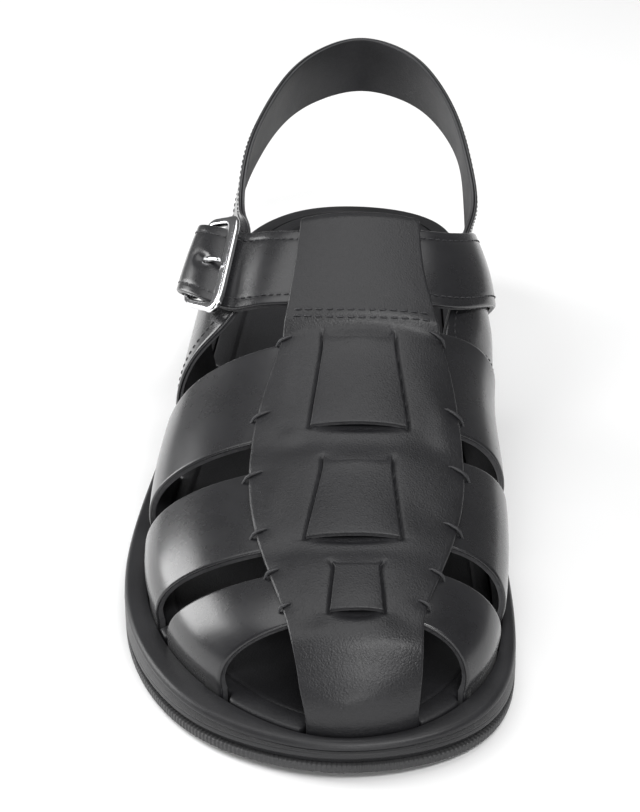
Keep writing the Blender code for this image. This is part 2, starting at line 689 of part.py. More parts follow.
def make_belt():
    """The instep strap, sewn to the inner quarter, through the loop and the buckle, with its prong hole."""
    table = np.array(BELT_ROWS)
    knots = np.arange(len(table), dtype=float)
    at = np.linspace(0, len(table) - 1, 37)
    line = smooth(knots, table, at)
    flat = np.clip(line[:, 4:5], BELT_INNER, None)
    c = np.linspace(0, 1, 5)[None, :]
    tip = step((at[:, None] - (len(table) - 2.2)) / 1.2)
    cut = 0.5 + (c - 0.5) * (1 - 0.35 * tip ** 2)
    inner = belt_point(at[:, None], cut, flat)
    outer = belt_point(at[:, None], cut, flat + BELT_THICK)
    belt = slab("belt", inner, outer)
    centre = belt_point(HOLE_AT, 0.5, 4.0)
    up = belt_point(HOLE_AT, 0.5, 5.0) - centre
    ahead = belt_point(HOLE_AT + 0.05, 0.5, 4.0) - belt_point(HOLE_AT - 0.05, 0.5, 4.0)
    ahead /= np.linalg.norm(ahead)
    side = np.cross(up, ahead)
    angles = np.linspace(0, 2 * np.pi, 12, endpoint=False)
    circle = (np.cos(angles)[:, None] * ahead * HOLE_LENGTH / 2 + np.sin(angles)[:, None] * side * HOLE_WIDTH / 2)
    hole = tube_mesh("hole", np.stack([centre + circle - up * 5, centre + circle + up * 7]))
    combine("instep_strap", [belt, hole], "strap_leather", "DIFFERENCE")


def tube_mesh(name, sections, looped=False):
    """A closed solid through sections of points; its ends are flat faces, or joined if it is looped."""
    count, sides = sections.shape[:2]
    index = np.arange(count * sides).reshape(count, sides)
    ahead = np.roll(index, -1, axis=0) if looped else index[1:]
    low = index if looped else index[:-1]
    faces = np.stack([low, np.roll(low, -1, 1), np.roll(ahead, -1, 1), ahead], -1).reshape(-1, 4).tolist()
    if not looped:
        faces += [index[0, ::-1].tolist(), index[-1].tolist()]
    return closed_mesh(name, sections.reshape(-1, 3), faces)


def swept(path, up, radius, flat=1.0, sides=8, looped=False):
    """Sections of a bar along a path, with one axis along the given up directions."""
    if looped:
        ahead = np.roll(path, -1, 0) - np.roll(path, 1, 0)
    else:
        ahead = np.gradient(path, axis=0)
    ahead /= np.linalg.norm(ahead, axis=-1, keepdims=True)
    side = np.cross(ahead, up)
    side /= np.linalg.norm(side, axis=-1, keepdims=True)
    rise = np.cross(side, ahead)
    angles = np.pi / sides + np.linspace(0, 2 * np.pi, sides, endpoint=False)
    radius = np.asarray(radius, float).reshape(-1, 1, 1)
    return path[:, None] + radius * (np.cos(angles)[None, :, None] * side[:, None]
                                     + flat * np.sin(angles)[None, :, None] * rise[:, None])


def make_buckle():
    """The buckle: a flat rounded frame over the strap in front and under it behind, and the prong."""
    angles = np.linspace(0, 2 * np.pi, 36, endpoint=False)
    cos, sin = np.cos(angles), np.sin(angles)
    across = (np.sign(cos) * np.abs(cos) ** CORNER_POWER + 1)[:, None] / 2
    along = (np.sign(sin) * np.abs(sin) ** CORNER_POWER + 1)[:, None] / 2
    low, high = -BUCKLE_MARGIN, 1 + BUCKLE_MARGIN
    front = [belt_point(BUCKLE_FRONT, c, FRONT_BAR_HEIGHT) for c in (low, high)]
    back = [belt_point(BUCKLE_BACK, c, BACK_BAR_HEIGHT) for c in (low, high)]
    front_line = front[0] + (front[1] - front[0]) * across
    back_line = back[0] + (back[1] - back[0]) * across
    path = front_line + (back_line - front_line) * along
    face = np.cross(front[1] - front[0], back[0] - front[0])
    face *= np.sign(face[2]) / np.linalg.norm(face)
    bar = swept(path, face + 0 * path, BAR_RADIUS, looped=True)
    add_object("buckle_frame", tube_mesh("frame", bar, looped=True), "steel")
    front_middle = (front[0] + front[1]) / 2
    back_middle = (back[0] + back[1]) / 2
    way = front_middle - back_middle
    way /= np.linalg.norm(way)
    reach = BAR_RADIUS + GAP + PRONG_RADIUS
    start = back_middle + way * reach
    end = front_middle + face * (BAR_RADIUS + GAP + 0.75 * PRONG_RADIUS) - way * 0.2
    share = np.linspace(0, 1, 9)[:, None]
    path = start + (end - start) * share + face * PRONG_BOW * np.sin(np.pi * share)
    add_object("buckle_prong", tube_mesh("prong", swept(path, face + 0 * path, PRONG_RADIUS * (1 - 0.25 * share))), "steel")


def main():
    for thing in list(bpy.data.objects):
        bpy.data.objects.remove(thing)
    make_sole()
    make_footbed()
    make_upper()
    make_back_strap()
    make_belt()
    make_buckle()


main()
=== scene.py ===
"""Looks of the fisherman sandal, right shoe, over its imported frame.

The finished pieces are drawn in the same millimetre frame as the solids: x across from the sole's long axis
(plus is the big toe's side), y back from the tip of the toe, z up. place() turns that into metres.
A place on the last is a station, in millimetres back from the toe, and a turn across it from -1 to 1.
"""

import bpy
import numpy as np
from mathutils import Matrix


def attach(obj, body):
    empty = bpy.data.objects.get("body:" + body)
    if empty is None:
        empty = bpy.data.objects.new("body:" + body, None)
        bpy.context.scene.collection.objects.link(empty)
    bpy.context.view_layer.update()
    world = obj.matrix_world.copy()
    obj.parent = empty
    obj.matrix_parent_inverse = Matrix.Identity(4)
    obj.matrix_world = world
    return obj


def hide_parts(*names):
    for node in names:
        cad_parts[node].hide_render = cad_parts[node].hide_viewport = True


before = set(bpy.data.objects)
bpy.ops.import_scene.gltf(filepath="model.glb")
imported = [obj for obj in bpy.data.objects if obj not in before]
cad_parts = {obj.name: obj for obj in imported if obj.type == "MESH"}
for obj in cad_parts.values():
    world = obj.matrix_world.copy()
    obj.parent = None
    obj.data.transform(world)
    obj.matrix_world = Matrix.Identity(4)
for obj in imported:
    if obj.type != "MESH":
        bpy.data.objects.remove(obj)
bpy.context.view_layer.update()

MM = 0.001
LENGTH = 292.0
CENTRE_X = -7.26

# Camera: its distance ahead of the toe and its height in millimetres, its pitch in degrees, the lens in the
# photograph's pixels, and how much larger the render shows the shoe
CAMERA_AHEAD = 370.7
CAMERA_HEIGHT = 325.0
CAMERA_PITCH = 30.4
LENS_PIXELS = 1130.0
ENLARGE = 1.72
FRAME_HEIGHT = 812.0
SENSOR = 36.0

# Columns: name, place and aim in metres, width, height, power in watts
LIGHTS = (
    ("overhead", (-0.1, 0.10, 1.35), (0.0, 0.0, 0.0), 1.5, 1.1, 11.0),
    ("left_box", (-1.15, 0.30, 0.48), (0.0, 0.0, 0.03), 0.7, 0.8, 14.0),
    ("front_top", (0.35, -0.80, 1.15), (0.0, -0.05, 0.0), 1.0, 0.2, 11.5),
    ("front_low", (0.1, -1.35, 0.50), (0.0, -0.1, 0.02), 0.7, 0.45, 5.5),
)
WORLD_LIGHT = 0.13
FLOOR = 6.0

# Sole
GAP = 0.3
OUTSOLE_THICK = 2.6
TOE_SPRING = 2.6
TOE_SPRING_END = 48.0
ARCH_RISE = 2.4
ARCH_START = 98.0
ARCH_END = 226.0
SLOT_DEPTH = 4.5
SLOT_WIDTH = 2.8
FREE_SLOT = 0.5
FOOTBED_RIM = 4.6
FOOTBED_DISH = 1.6
RIB_PITCH = 1.26
ROUND_STEPS = 720

# Leather
STRAP_THICK = 2.2
STRIP_INNER = 1.7
STRIP_THICK = 2.5
STRIP_WIDTH = 44.0
QUARTER_THICK = 2.0
BELT_THICK = 2.0
BELT_WIDTH = 23.0
SLING_WIDTH = 22.0
BELT_SEAMS = (0.125, 0.875)
BACK_SEAMS = (0.085, 0.915)
LOOP_THICK = 1.9
LOOP_TOP = 4.7
FOOT_LIFT = 1.5
TUCK = 4.0
EDGE_ROUND = 0.7

# Stitches: pitch, radius, length
BACK_STITCH = (2.3, 0.2, 1.7)
BELT_STITCH = (2.3, 0.24, 1.95)
LOOP_STITCH = (2.9, 0.36, 2.8)

# Buckle
BUCKLE_FRONT = 6.95
BUCKLE_BACK = 8.05
BUCKLE_MARGIN = 0.09
FRONT_BAR_HEIGHT = 7.3
BACK_BAR_HEIGHT = 8.3
PRONG_RADIUS = 0.95
PRONG_BOW = 1.5
BAR_HALF_HEIGHT = 1.1
BAR_HALF_WIDTH = 1.35
FRONT_BAR_EXTRA = 0.65
BAR_RADIUS = 1.15
HOLE_AT = 7.6

# Columns: station, outer half width, inner half width, outer ledge, inner ledge, ledge height
SOLE_ROWS = (
    (0.0, 0.0, 0.0, 3.4, 3.4, 11.6),
    (3.0, 17.0, 18.0, 4.4, 4.4, 11.6),
    (12.0, 34.3, 33.2, 6.8, 6.2, 11.7),
    (30.0, 49.8, 43.0, 7.2, 5.2, 12.0),
    (55.0, 59.6, 45.6, 6.5, 3.6, 12.4),
    (85.0, 62.0, 44.8, 6.5, 3.4, 13.2),
    (120.0, 58.4, 42.6, 6.5, 3.6, 15.0),
    (160.0, 53.0, 39.4, 6.5, 4.0, 18.0),
    (200.0, 48.8, 38.0, 6.5, 5.5, 21.5),
    (235.0, 44.4, 39.4, 6.5, 6.5, 24.0),
    (262.0, 38.0, 39.0, 6.5, 6.5, 25.0),
    (280.0, 27.6, 31.4, 6.5, 6.5, 25.0),
    (289.0, 15.4, 17.6, 6.5, 6.5, 25.0),
    (292.0, 0.0, 0.0, 6.5, 6.5, 25.0),
)

# Columns: station, crown height, outer fullness, inner fullness, outer lean, inner lean
LAST_ROWS = (
    (0.0, 13.1, 0.55, 0.55, 0.0, 0.0),
    (6.0, 25.0, 0.55, 0.55, 0.0, 0.0),
    (14.0, 30.6, 0.58, 0.58, 1.5, 1.5),
    (30.0, 35.0, 0.60, 0.60, 3.0, 4.0),
    (60.0, 41.0, 0.60, 0.60, 4.0, 7.0),
    (95.0, 50.0, 0.60, 0.60, 6.5, 13.0),
    (125.0, 61.5, 0.58, 0.60, 9.0, 15.0),
    (150.0, 75.5, 0.58, 0.62, 9.0, 23.0),
    (180.0, 88.0, 0.58, 0.62, 8.0, 19.5),
    (215.0, 93.0, 0.58, 0.60, 6.0, 16.0),
)
CROWN_X = 3.3

# Columns: turn, front edge station, back edge station
CROSS_STRAPS = {
    "first": ((-1.0, 89.0, 119.0), (-0.5, 85.0, 120.0), (0.0, 85.6, 120.3),
              (0.5, 92.0, 130.0), (1.0, 92.0, 136.5)),
    "second": ((-1.0, 46.5, 76.0), (-0.5, 43.0, 73.6), (0.0, 44.0, 74.2),
               (0.5, 48.0, 82.5), (1.0, 48.0, 87.0)),
    "third": ((-1.0, 13.8, 38.5), (-0.5, 16.0, 34.0), (0.0, 18.6, 35.2),
              (0.5, 17.4, 36.8), (1.0, 13.8, 38.0)),
}

# Columns: station, outer edge, inner edge, both across from the sole's axis
STRIP_ROWS = (
    (0.0, -9.6, 17.2),
    (8.0, -11.6, 17.4),
    (20.0, -15.2, 18.8),
    (32.0, -19.0, 22.4),
    (50.0, -23.6, 27.4),
    (75.0, -25.8, 30.6),
    (92.0, -24.4, 30.0),
    (119.0, -18.2, 26.4),
    (137.0, -14.8, 21.8),
    (156.0, -12.2, 20.2),
)
LOOP_CLIMB = 120.0
LOOP_CLIMB_LENGTH = 6.5
LOOP_END = 126.5
LOOP_TURN = 154.4

# Columns: front station, back station, outer and inner edge at the back, outer and inner edge at the front
TABS = {
    "first": (85.6, 120.3, -5.8, 12.7, -9.8, 16.4),
    "second": (44.0, 74.2, -5.4, 11.4, -10.3, 13.7),
    "third": (18.6, 35.2, -2.6, 7.9, -3.9, 8.9),
}


# The slits flare at their back ends by this many square millimetres over the tab's length
TAB_FLARE = 24.0
TAB_THICK = 1.3
TAB_WIDTH = 24.0
LENS_REACH = 1.1
LENS_DEPTH = 1.7
LENS_FADE = 1.3
SLIT_DEPTH = 0.9
SLIT_HALF = 0.62

# Columns: station and half length of the sags of the strip over the gaps between the straps
GAP_SAGS = ((127.5, 3.5), (80.0, 5.5), (39.5, 4.5))
GAP_SAG = 0.30

# Columns: front edge station and turn, back edge station and turn, height of the inner face over the last
BELT_ROWS = (
    (168.0, 0.80, 191.0, 0.73, 0.6),
    (156.0, 0.66, 180.0, 0.59, 0.2),
    (141.0, 0.46, 163.5, 0.40, 1.2),
    (132.6, 0.27, 154.8, 0.22, 2.3),
    (130.0, 0.02, 152.5, 0.02, 2.3),
    (130.6, -0.17, 153.0, -0.14, 2.3),
    (133.8, -0.31, 157.3, -0.28, 2.3),
    (139.0, -0.44, 163.5, -0.40, 3.2),
    (151.0, -0.58, 171.5, -0.51, 9.8),
    (160.0, -0.66, 180.0, -0.58, 4.4),
    (170.0, -0.73, 190.0, -0.64, 2.7),
)

# Columns: front edge station and turn, back edge station and turn, height of the inner face at each edge
OUTER_QUARTER = (
    (134.0, -1.0, 178.0, -1.0, 0.0, 0.0),
    (133.6, -0.82, 178.5, -0.92, 0.0, 0.0),
    (134.0, -0.62, 181.0, -0.86, 0.0, 0.0),
    (134.6, -0.47, 186.0, -0.82, 0.0, 0.0),
    (141.0, -0.375, 191.0, -0.79, 0.0, 0.0),
    (154.0, -0.37, 196.0, -0.77, 0.0, 0.0),
    (168.0, -0.40, 200.0, -0.76, 0.0, 0.0),
)
INNER_QUARTER = (
    (139.5, 1.0, 179.0, 1.0, 0.0, 0.0),
    (138.0, 0.82, 179.5, 0.92, 0.0, 0.0),
    (131.5, 0.60, 182.0, 0.86, -2.6, -1.7),
    (123.0, 0.43, 187.0, 0.82, -2.8, -2.5),
    (128.0, 0.35, 192.0, 0.79, -2.6, -2.2),
    (146.0, 0.38, 197.0, 0.775, -2.2, -1.6),
    (164.0, 0.43, 201.0, 0.765, -1.8, -0.6),
)

# Columns: the top edge's place along, its outer and inner place across, its height, then the bottom edge's
SLING_ROWS = (
    (186.0, -31.7, 38.6, 70.5, 204.0, -37.5, 38.0, 50.5),
    (206.0, -31.6, 38.5, 77.0, 216.0, -35.0, 38.5, 58.0),
    (232.0, -26.6, 34.6, 84.5, 239.0, -30.0, 37.4, 64.8),
    (257.0, -18.6, 27.8, 88.8, 262.0, -22.2, 31.0, 68.6),
    (278.5, -6.5, 16.8, 90.6, 282.0, -8.5, 18.5, 70.4),
    (286.0, 4.9, 4.9, 91.0, 288.8, 4.9, 4.9, 70.8),
)

# Columns: station, outer side or inner side, of the hand stitches that cross the strip's edges
EDGE_STITCHES = (
    (119.3, -1), (92.6, -1), (70.1, -1), (48.3, -1), (33.3, -1), (21.5, -1),
    (121.9, 1), (95.0, 1), (74.3, 1), (52.6, 1), (34.3, 1), (23.0, 1),
)

# Columns: station, across, radius along, radius across, depth of the soft dents and swells of the strip
DENTS = (
    (81.0, -14.0, 5.5, 6.0, -0.55),
    (82.0, 21.5, 6.0, 6.5, -0.60),
    (41.0, -14.5, 5.0, 5.5, -0.50),
    (55.0, 19.0, 7.0, 6.0, -0.45),
    (79.5, 3.5, 4.2, 12.0, -0.45),
    (39.5, 2.0, 3.6, 10.0, -0.45),
    (13.0, 2.5, 4.0, 24.0, 0.85),
    (17.0, -8.5, 3.6, 4.6, -0.50),
    (17.0, 13.0, 3.6, 4.6, -0.50),
    (5.0, 3.0, 5.0, 12.0, -0.45),
    (101.0, 22.0, 9.0, 4.0, 0.35),
    (104.0, -17.0, 9.0, 4.0, 0.35),
    (60.0, -19.0, 8.0, 4.0, 0.35),
    (140.0, 4.0, 9.0, 13.0, 0.30),
    (116.5, 4.5, 3.4, 7.0, 0.55),
    (122.0, 3.0, 2.0, 16.0, -0.25),
    (71.5, 3.0, 3.0, 6.0, 0.35),
    (93.0, 25.5, 6.0, 3.0, 0.45),
    (82.5, -14.5, 3.0, 3.5, 0.55),
    (84.0, 25.5, 3.6, 3.4, 0.45),
)


def smooth(knots, values, at):
    """Natural cubic spline: the values at the knots, joined with no jump in slope or bend."""
    x = np.asarray(knots, float)
    y = np.asarray(values, float)
    step_x = np.diff(x)
    count = len(x)
    matrix = np.eye(count)
    right = np.zeros(y.shape)
    for i in range(1, count - 1):
        matrix[i, i - 1:i + 2] = step_x[i - 1], 2 * (step_x[i - 1] + step_x[i]), step_x[i]
        right[i] = 6 * ((y[i + 1] - y[i]) / step_x[i] - (y[i] - y[i - 1]) / step_x[i - 1])
    bend = np.linalg.solve(matrix, right.reshape(count, -1)).reshape(y.shape)
    at = np.asarray(at, float)
    k = np.clip(np.searchsorted(x, at) - 1, 0, count - 2)
    extra = (1,) * (y.ndim - 1)
    a = ((x[k + 1] - at) / step_x[k]).reshape(at.shape + extra)
    b = 1 - a
    h = step_x[k].reshape(at.shape + extra)
    return a * y[k] + b * y[k + 1] + ((a ** 3 - a) * bend[k] + (b ** 3 - b) * bend[k + 1]) * h ** 2 / 6


def step(value):
    """A soft step from 0 to 1: three times the square less twice the cube."""
    value = np.clip(value, 0, 1)
    return value * value * (3 - 2 * value)


def place(points):
    """Drawing millimetres to metres, with the origin on the ground under the middle of the shoe."""
    return (np.asarray(points, float) - (CENTRE_X, LENGTH / 2, 0.0)) * MM


def unit(vectors):
    """Vectors of the same direction with length 1."""
    return vectors / np.maximum(np.linalg.norm(vectors, axis=-1, keepdims=True), 1e-9)


def angle_of(station):
    """The angle whose cosine runs from 1 at the toe to -1 at the heel, which gives round ends."""
    return np.arccos(1 - 2 * np.asarray(station, float) / LENGTH)


def station_of(angle):
    return LENGTH / 2 * (1 - np.cos(angle))


SOLE = np.array(SOLE_ROWS)
SOLE_ANGLES = angle_of(SOLE[:, 0])
LAST = np.array(LAST_ROWS)
LAST_ANGLES = angle_of(LAST[:, 0])
STRIP = np.array(STRIP_ROWS)
BELT = np.array(BELT_ROWS)


def round_sole(outer, inner, angle):
    """A value that runs round the sole: down the outer side from 0 to pi, then back up the inner side."""
    knots = np.concatenate([SOLE_ANGLES, 2 * np.pi - SOLE_ANGLES[-2:0:-1]])
    values = np.concatenate([outer, inner[-2:0:-1]])
    knots = np.concatenate([knots - 2 * np.pi, knots, knots + 2 * np.pi])
    return smooth(knots, np.tile(values, 3), angle)


def outline(angle, inset):
    """The sole's outline, moved inwards by the inset, as x and y."""
    def edge(a):
        return np.stack([round_sole(-SOLE[:, 1], SOLE[:, 2], a), station_of(a)], -1)
    ahead = unit(edge(angle + 0.001) - edge(angle - 0.001))
    inwards = np.stack([ahead[..., 1], -ahead[..., 0]], -1)
    return edge(angle) + inwards * np.asarray(inset)[..., None]


def ledge_width(angle):
    return round_sole(SOLE[:, 3], SOLE[:, 4], angle)


def ledge_height(angle):
    return round_sole(SOLE[:, 5], SOLE[:, 5], angle)


def ground_height(station):
    """The underside: the toe springs up, the waist arches, and the ball and heel lie flat on the ground."""
    spring = np.clip((TOE_SPRING_END - station) / TOE_SPRING_END, 0, 1) ** 2 * TOE_SPRING
    arch = np.clip((station - ARCH_START) / (ARCH_END - ARCH_START), 0, 1)
    return spring + ARCH_RISE * np.sin(np.pi * arch) ** 2


def last_points(angle, turn):
    """The last: on each side of the crown a curve climbs from the foot, leans out, and comes over level."""
    angle, turn = np.broadcast_arrays(np.asarray(angle, float), np.asarray(turn, float))
    outer = turn < 0
    side = np.where(outer, angle, 2 * np.pi - angle)
    foot = outline(side, ledge_width(side) + SLOT_WIDTH - GAP)
    foot_z = ledge_height(side) + FOOT_LIFT
    tip = outline(np.zeros(1), ledge_width(np.zeros(1)) + SLOT_WIDTH - GAP)[0, 1]
    column = [smooth(LAST_ANGLES, LAST[:, i], angle) for i in range(1, 6)]
    crown_z = column[0]
    full = np.where(outer, column[1], column[2])
    lean = np.where(outer, -column[3], column[4])
    crown_y = tip + station_of(angle) * (1 - tip / LENGTH)
    w = 1 - np.abs(turn)
    low = (1 - w) ** 3
    rise = 3 * (1 - w) ** 2 * w
    over = 3 * (1 - w) * w ** 2
    top = w ** 3
    x = low * foot[..., 0] + rise * (foot[..., 0] + lean) + top * CROWN_X
    x += over * (CROWN_X + full * (foot[..., 0] + lean - CROWN_X))
    y = (low + rise) * foot[..., 1] + (over + top) * crown_y
    z = (low + rise) * foot_z + rise * full * (crown_z - foot_z) + (over + top) * crown_z
    return np.stack([x, y, z], -1)


def last_normals(angle, turn):
    """Outward normals of the last, from the slopes along it and across it."""
    small = 0.004
    along = last_points(angle + small, turn) - last_points(angle - small, turn)
    high = np.minimum(turn + small, 1.0)
    across = last_points(angle, high) - last_points(angle, np.maximum(high - 2 * small, -1.0))
    return unit(np.cross(across, along))


def on_last(station, turn, height):
    """Points over the last, at a station, a turn and a height over its surface."""
    angle = angle_of(station)
    return last_points(angle, turn) + last_normals(angle, turn) * np.asarray(height)[..., None]


TURNS = np.linspace(-0.9, 0.9, 361)
TABLE_ANGLES = angle_of(np.linspace(0.3, 162.0, 260))
TABLE_X = np.maximum.accumulate(last_points(TABLE_ANGLES[:, None], TURNS[None, :])[..., 0], axis=1)
TABLE_TURNS = np.array([np.interp(np.linspace(-32, 36, 171), row, TURNS) for row in TABLE_X])


def turn_at(angle, x):
    """The turn where the section at an angle reaches x, read between the rows of a table of sections."""
    angle, x = np.broadcast_arrays(np.asarray(angle, float), np.asarray(x, float))
    row = np.clip(np.interp(angle, TABLE_ANGLES, np.arange(len(TABLE_ANGLES))), 0, len(TABLE_ANGLES) - 1.001)
    column = np.clip((x + 32) / 68 * 170, 0, 169.999)
    r, c = row.astype(int), column.astype(int)
    fr, fc = row - r, column - c
    near = TABLE_TURNS[r, c] * (1 - fc) + TABLE_TURNS[r, c + 1] * fc
    far = TABLE_TURNS[r + 1, c] * (1 - fc) + TABLE_TURNS[r + 1, c + 1] * fc
    return near * (1 - fr) + far * fr


def slab_faces(rows, columns):
    """Faces of a closed slab with its rim, and each face's kind: 0 outer, 1 rim, 2 inner."""
    count = rows * columns
    index = np.arange(count).reshape(rows, columns)
    a, b = index[:-1, :-1].ravel(), index[:-1, 1:].ravel()
    c, d = index[1:, 1:].ravel(), index[1:, :-1].ravel()
    loop = np.concatenate([index[0, :-1], index[:-1, -1], index[-1, :0:-1], index[:0:-1, 0]])
    after = np.roll(loop, -1)
    middle = 2 * count + np.arange(len(loop))
    middle_after = np.roll(middle, -1)
    parts = [np.stack([a, b, c, d], 1), np.stack([d, c, b, a], 1) + count]
    parts.append(np.stack([after, loop, middle, middle_after], 1))
    parts.append(np.stack([middle_after, middle, loop + count, after + count], 1))
    kinds = np.concatenate([np.full(len(part), kind) for part, kind in zip(parts, (0, 2, 1, 1))])
    return np.concatenate(parts), kinds, loop


def add_piece(name, points, faces, finishes, replaces, slot, kinds=None, uv=None):
    """A finished piece from drawing points, riding on the shoe and standing for its CAD node."""
    mesh = bpy.data.meshes.new(name)
    mesh.from_pydata(place(points).tolist(), [], np.asarray(faces).tolist())
    for finish in finishes:
        mesh.materials.append(finish)
    if kinds is not None:
        mesh.polygons.foreach_set("material_index", np.asarray(kinds, dtype=np.int32))
    if uv is not None:
        layer = mesh.uv_layers.new(name="sole_uv")
        corners = np.empty(len(mesh.loops), dtype=np.int32)
        mesh.loops.foreach_get("vertex_index", corners)
        values, around = uv
        corner_uv = values[corners].reshape(-1, 4, 2)
        split = np.ptp(corner_uv[..., 0], axis=1) > around / 2
        corner_uv[..., 0] += around * (split[:, None] & (corner_uv[..., 0] < around / 2))
        layer.data.foreach_set("uv", corner_uv.astype(np.float32).ravel())
    mesh.shade_smooth()
    mesh.set_sharp_from_angle(angle=0.85)
    mesh.update()
    piece = bpy.data.objects.new(name, mesh)
    bpy.context.scene.collection.objects.link(piece)
    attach(piece, "root")
    if replaces:
        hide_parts(*replaces)
    return piece


def slab_piece(name, inner, outer, finishes, replaces, slot, groove=0.12):
    """A leather slab with a fine groove round the middle of its cut edge."""
    rows, columns = outer.shape[:2]
    faces, kinds, loop = slab_faces(rows, columns)
    flat_outer = outer.reshape(-1, 3)
    flat_inner = inner.reshape(-1, 3)
    middle = (flat_outer[loop] + flat_inner[loop]) / 2
    inside = outer[1:-1, 1:-1].reshape(-1, 3)
    if groove:
        pull = (np.roll(middle, 1, 0) - np.roll(middle, -1, 0))
        lift = unit(flat_outer[loop] - flat_inner[loop])
        away = unit(np.cross(pull, lift))
        test = inside[np.abs(inside - middle[len(middle) // 8]).sum(-1).argmin()] - middle[len(middle) // 8]
        sign = np.sign((away[len(middle) // 8] * test).sum()) or 1.0
        middle = middle + away * groove * sign
    points = np.concatenate([flat_outer, flat_inner, middle])
    return add_piece(name, points, faces, finishes, replaces, slot, kinds)


def edge_spread(width, inner_count):
    """Shares across a strap, close together at both edges where the leather rounds over."""
    near = np.array([0.0, 0.1, 0.26, 0.48, 0.75, 1.1, 1.7]) / width
    middle = np.linspace(near[-1], 1 - near[-1], inner_count)[1:-1]
    return np.concatenate([near, middle, 1 - near[::-1]])


def round_over(share, width, radius=EDGE_ROUND):
    """How far the outer face drops near a cut edge: the radius less the quarter circle over it."""
    away = np.minimum(share, 1 - share) * width
    return radius - np.sqrt(np.clip(radius ** 2 - np.clip(radius - away, 0, None) ** 2, 0, None))


def waves(station, across, seed):
    """A gentle unevenness of hand-lasted leather: four slow sine waves laid over each other."""
    rng = np.random.default_rng(seed)
    total = 0 * station
    for _ in range(4):
        a, b = rng.uniform(0.04, 0.13, 2)
        c, d = rng.uniform(0, 6.28, 2)
        total = total + np.sin(a * station + c) * np.sin(b * across + d)
    return total / 4


# Materials


class Wire:
    """A socket with plain arithmetic, so that a material reads as a formula."""

    def __init__(self, tree, socket):
        self.tree = tree
        self.socket = socket

    def math(self, operation, other=0.0):
        node = self.tree.nodes.new("ShaderNodeMath")
        node.operation = operation
        self.tree.links.new(self.socket, node.inputs[0])
        if isinstance(other, Wire):
            self.tree.links.new(other.socket, node.inputs[1])
        else:
            node.inputs[1].default_value = other
        return Wire(self.tree, node.outputs[0])

    def __add__(self, other):
        return self.math("ADD", other)

    def __radd__(self, other):
        return self.math("ADD", other)

    def __sub__(self, other):
        return self.math("SUBTRACT", other)

    def __rsub__(self, other):
        return self.math("MULTIPLY", -1.0).math("ADD", other)

    def __mul__(self, other):
        return self.math("MULTIPLY", other)

    def __rmul__(self, other):
        return self.math("MULTIPLY", other)

    def clamp(self, low, high):
        """The value's place between low and high, held within 0 and 1."""
        node = self.tree.nodes.new("ShaderNodeMapRange")
        node.inputs["From Min"].default_value = low
        node.inputs["From Max"].default_value = high
        self.tree.links.new(self.socket, node.inputs["Value"])
        return Wire(self.tree, node.outputs[0])


class Finish:
    """A material under construction, with one method that adds any node."""

    def __init__(self, name, rough, coat=0.0, coat_rough=0.3, metal=0.0, specular=0.5, sheen=0.0):
        self.material = bpy.data.materials.new(name)
        self.material.use_nodes = True
        self.tree = self.material.node_tree
        self.shader = self.tree.nodes["Principled BSDF"]
        for key, value in (("Roughness", rough), ("Coat Weight", coat), ("Coat Roughness", coat_rough),
                           ("Metallic", metal), ("Specular IOR Level", specular), ("Sheen Weight", sheen)):
            self.shader.inputs[key].default_value = value
        self.place = self.node("ShaderNodeTexCoord", "Object")

    def node(self, kind, output, links=None, **settings):
        """Adds a node: links feed its inputs, and settings are its properties or plain input values."""
        node = self.tree.nodes.new(kind)
        for key, value in settings.items():
            if hasattr(node, key):
                setattr(node, key, value)
            else:
                node.inputs[key.replace("_", " ")].default_value = value
        for key, wire in (links or {}).items():
            self.tree.links.new(wire.socket, node.inputs[key])
        return Wire(self.tree, node.outputs[output])

    def noise(self, scale, detail=3.0, roughness=0.5):
        """Cloudy noise over the object's own coordinates."""
        return self.node("ShaderNodeTexNoise", "Fac", {"Vector": self.place}, Scale=scale, Detail=detail,
                         Roughness=roughness)

    def cells(self, scale, feature):
        """Cells over the object's own coordinates, as in leather grain."""
        return self.node("ShaderNodeTexVoronoi", "Distance", {"Vector": self.place}, feature=feature,
                         Scale=scale)

    def colours(self, factor, low, high):
        """A blend of two colours."""
        mix = self.tree.nodes.new("ShaderNodeMix")
        mix.data_type = "RGBA"
        mix.inputs[6].default_value = (*low, 1.0)
        mix.inputs[7].default_value = (*high, 1.0)
        self.tree.links.new(factor.socket, mix.inputs[0])
        return Wire(self.tree, mix.outputs[2])

    def feed(self, name, wire):
        self.tree.links.new(wire.socket, self.shader.inputs[name])

    def bump(self, height, distance, strength=1.0, under=None):
        """Bump of a height in its own unit; the distance is what one unit stands for, in metres."""
        links = {"Height": height}
        if under is not None:
            links["Normal"] = under
        return self.node("ShaderNodeBump", "Normal", links, Distance=distance, Strength=strength)


def leather(name, dark, light, rough, grain, pore, coat=0.25, sheen=0.0):
    """Pigmented leather: fine pebbled grain, pores, faint clouds of colour and gloss, and soft scuffs."""
    finish = Finish(name, rough, coat, 0.26, specular=0.36, sheen=sheen)
    pebbles = finish.cells(1900.0, "SMOOTH_F1")
    creases = finish.cells(1250.0, "DISTANCE_TO_EDGE")
    clouds = finish.noise(34.0, 4.0)
    fine = finish.noise(900.0, 2.0)
    scuffs = finish.noise(150.0, 5.0, 0.65)
    tone = clouds * 0.55 + fine * 0.30 + scuffs * 0.25
    finish.feed("Base Color", finish.colours(tone.clamp(0.35, 0.75), dark, light))
    finish.feed("Roughness", (scuffs * 0.16 + clouds * 0.12 + (rough - 0.14)))
    low = finish.bump(pebbles * 0.6 + creases.clamp(0.0, 0.35) * 0.5, grain)
    mid = finish.bump(fine, pore, under=low)
    finish.feed("Normal", finish.bump(clouds, 0.0004, 0.4, under=mid))
    return finish.material


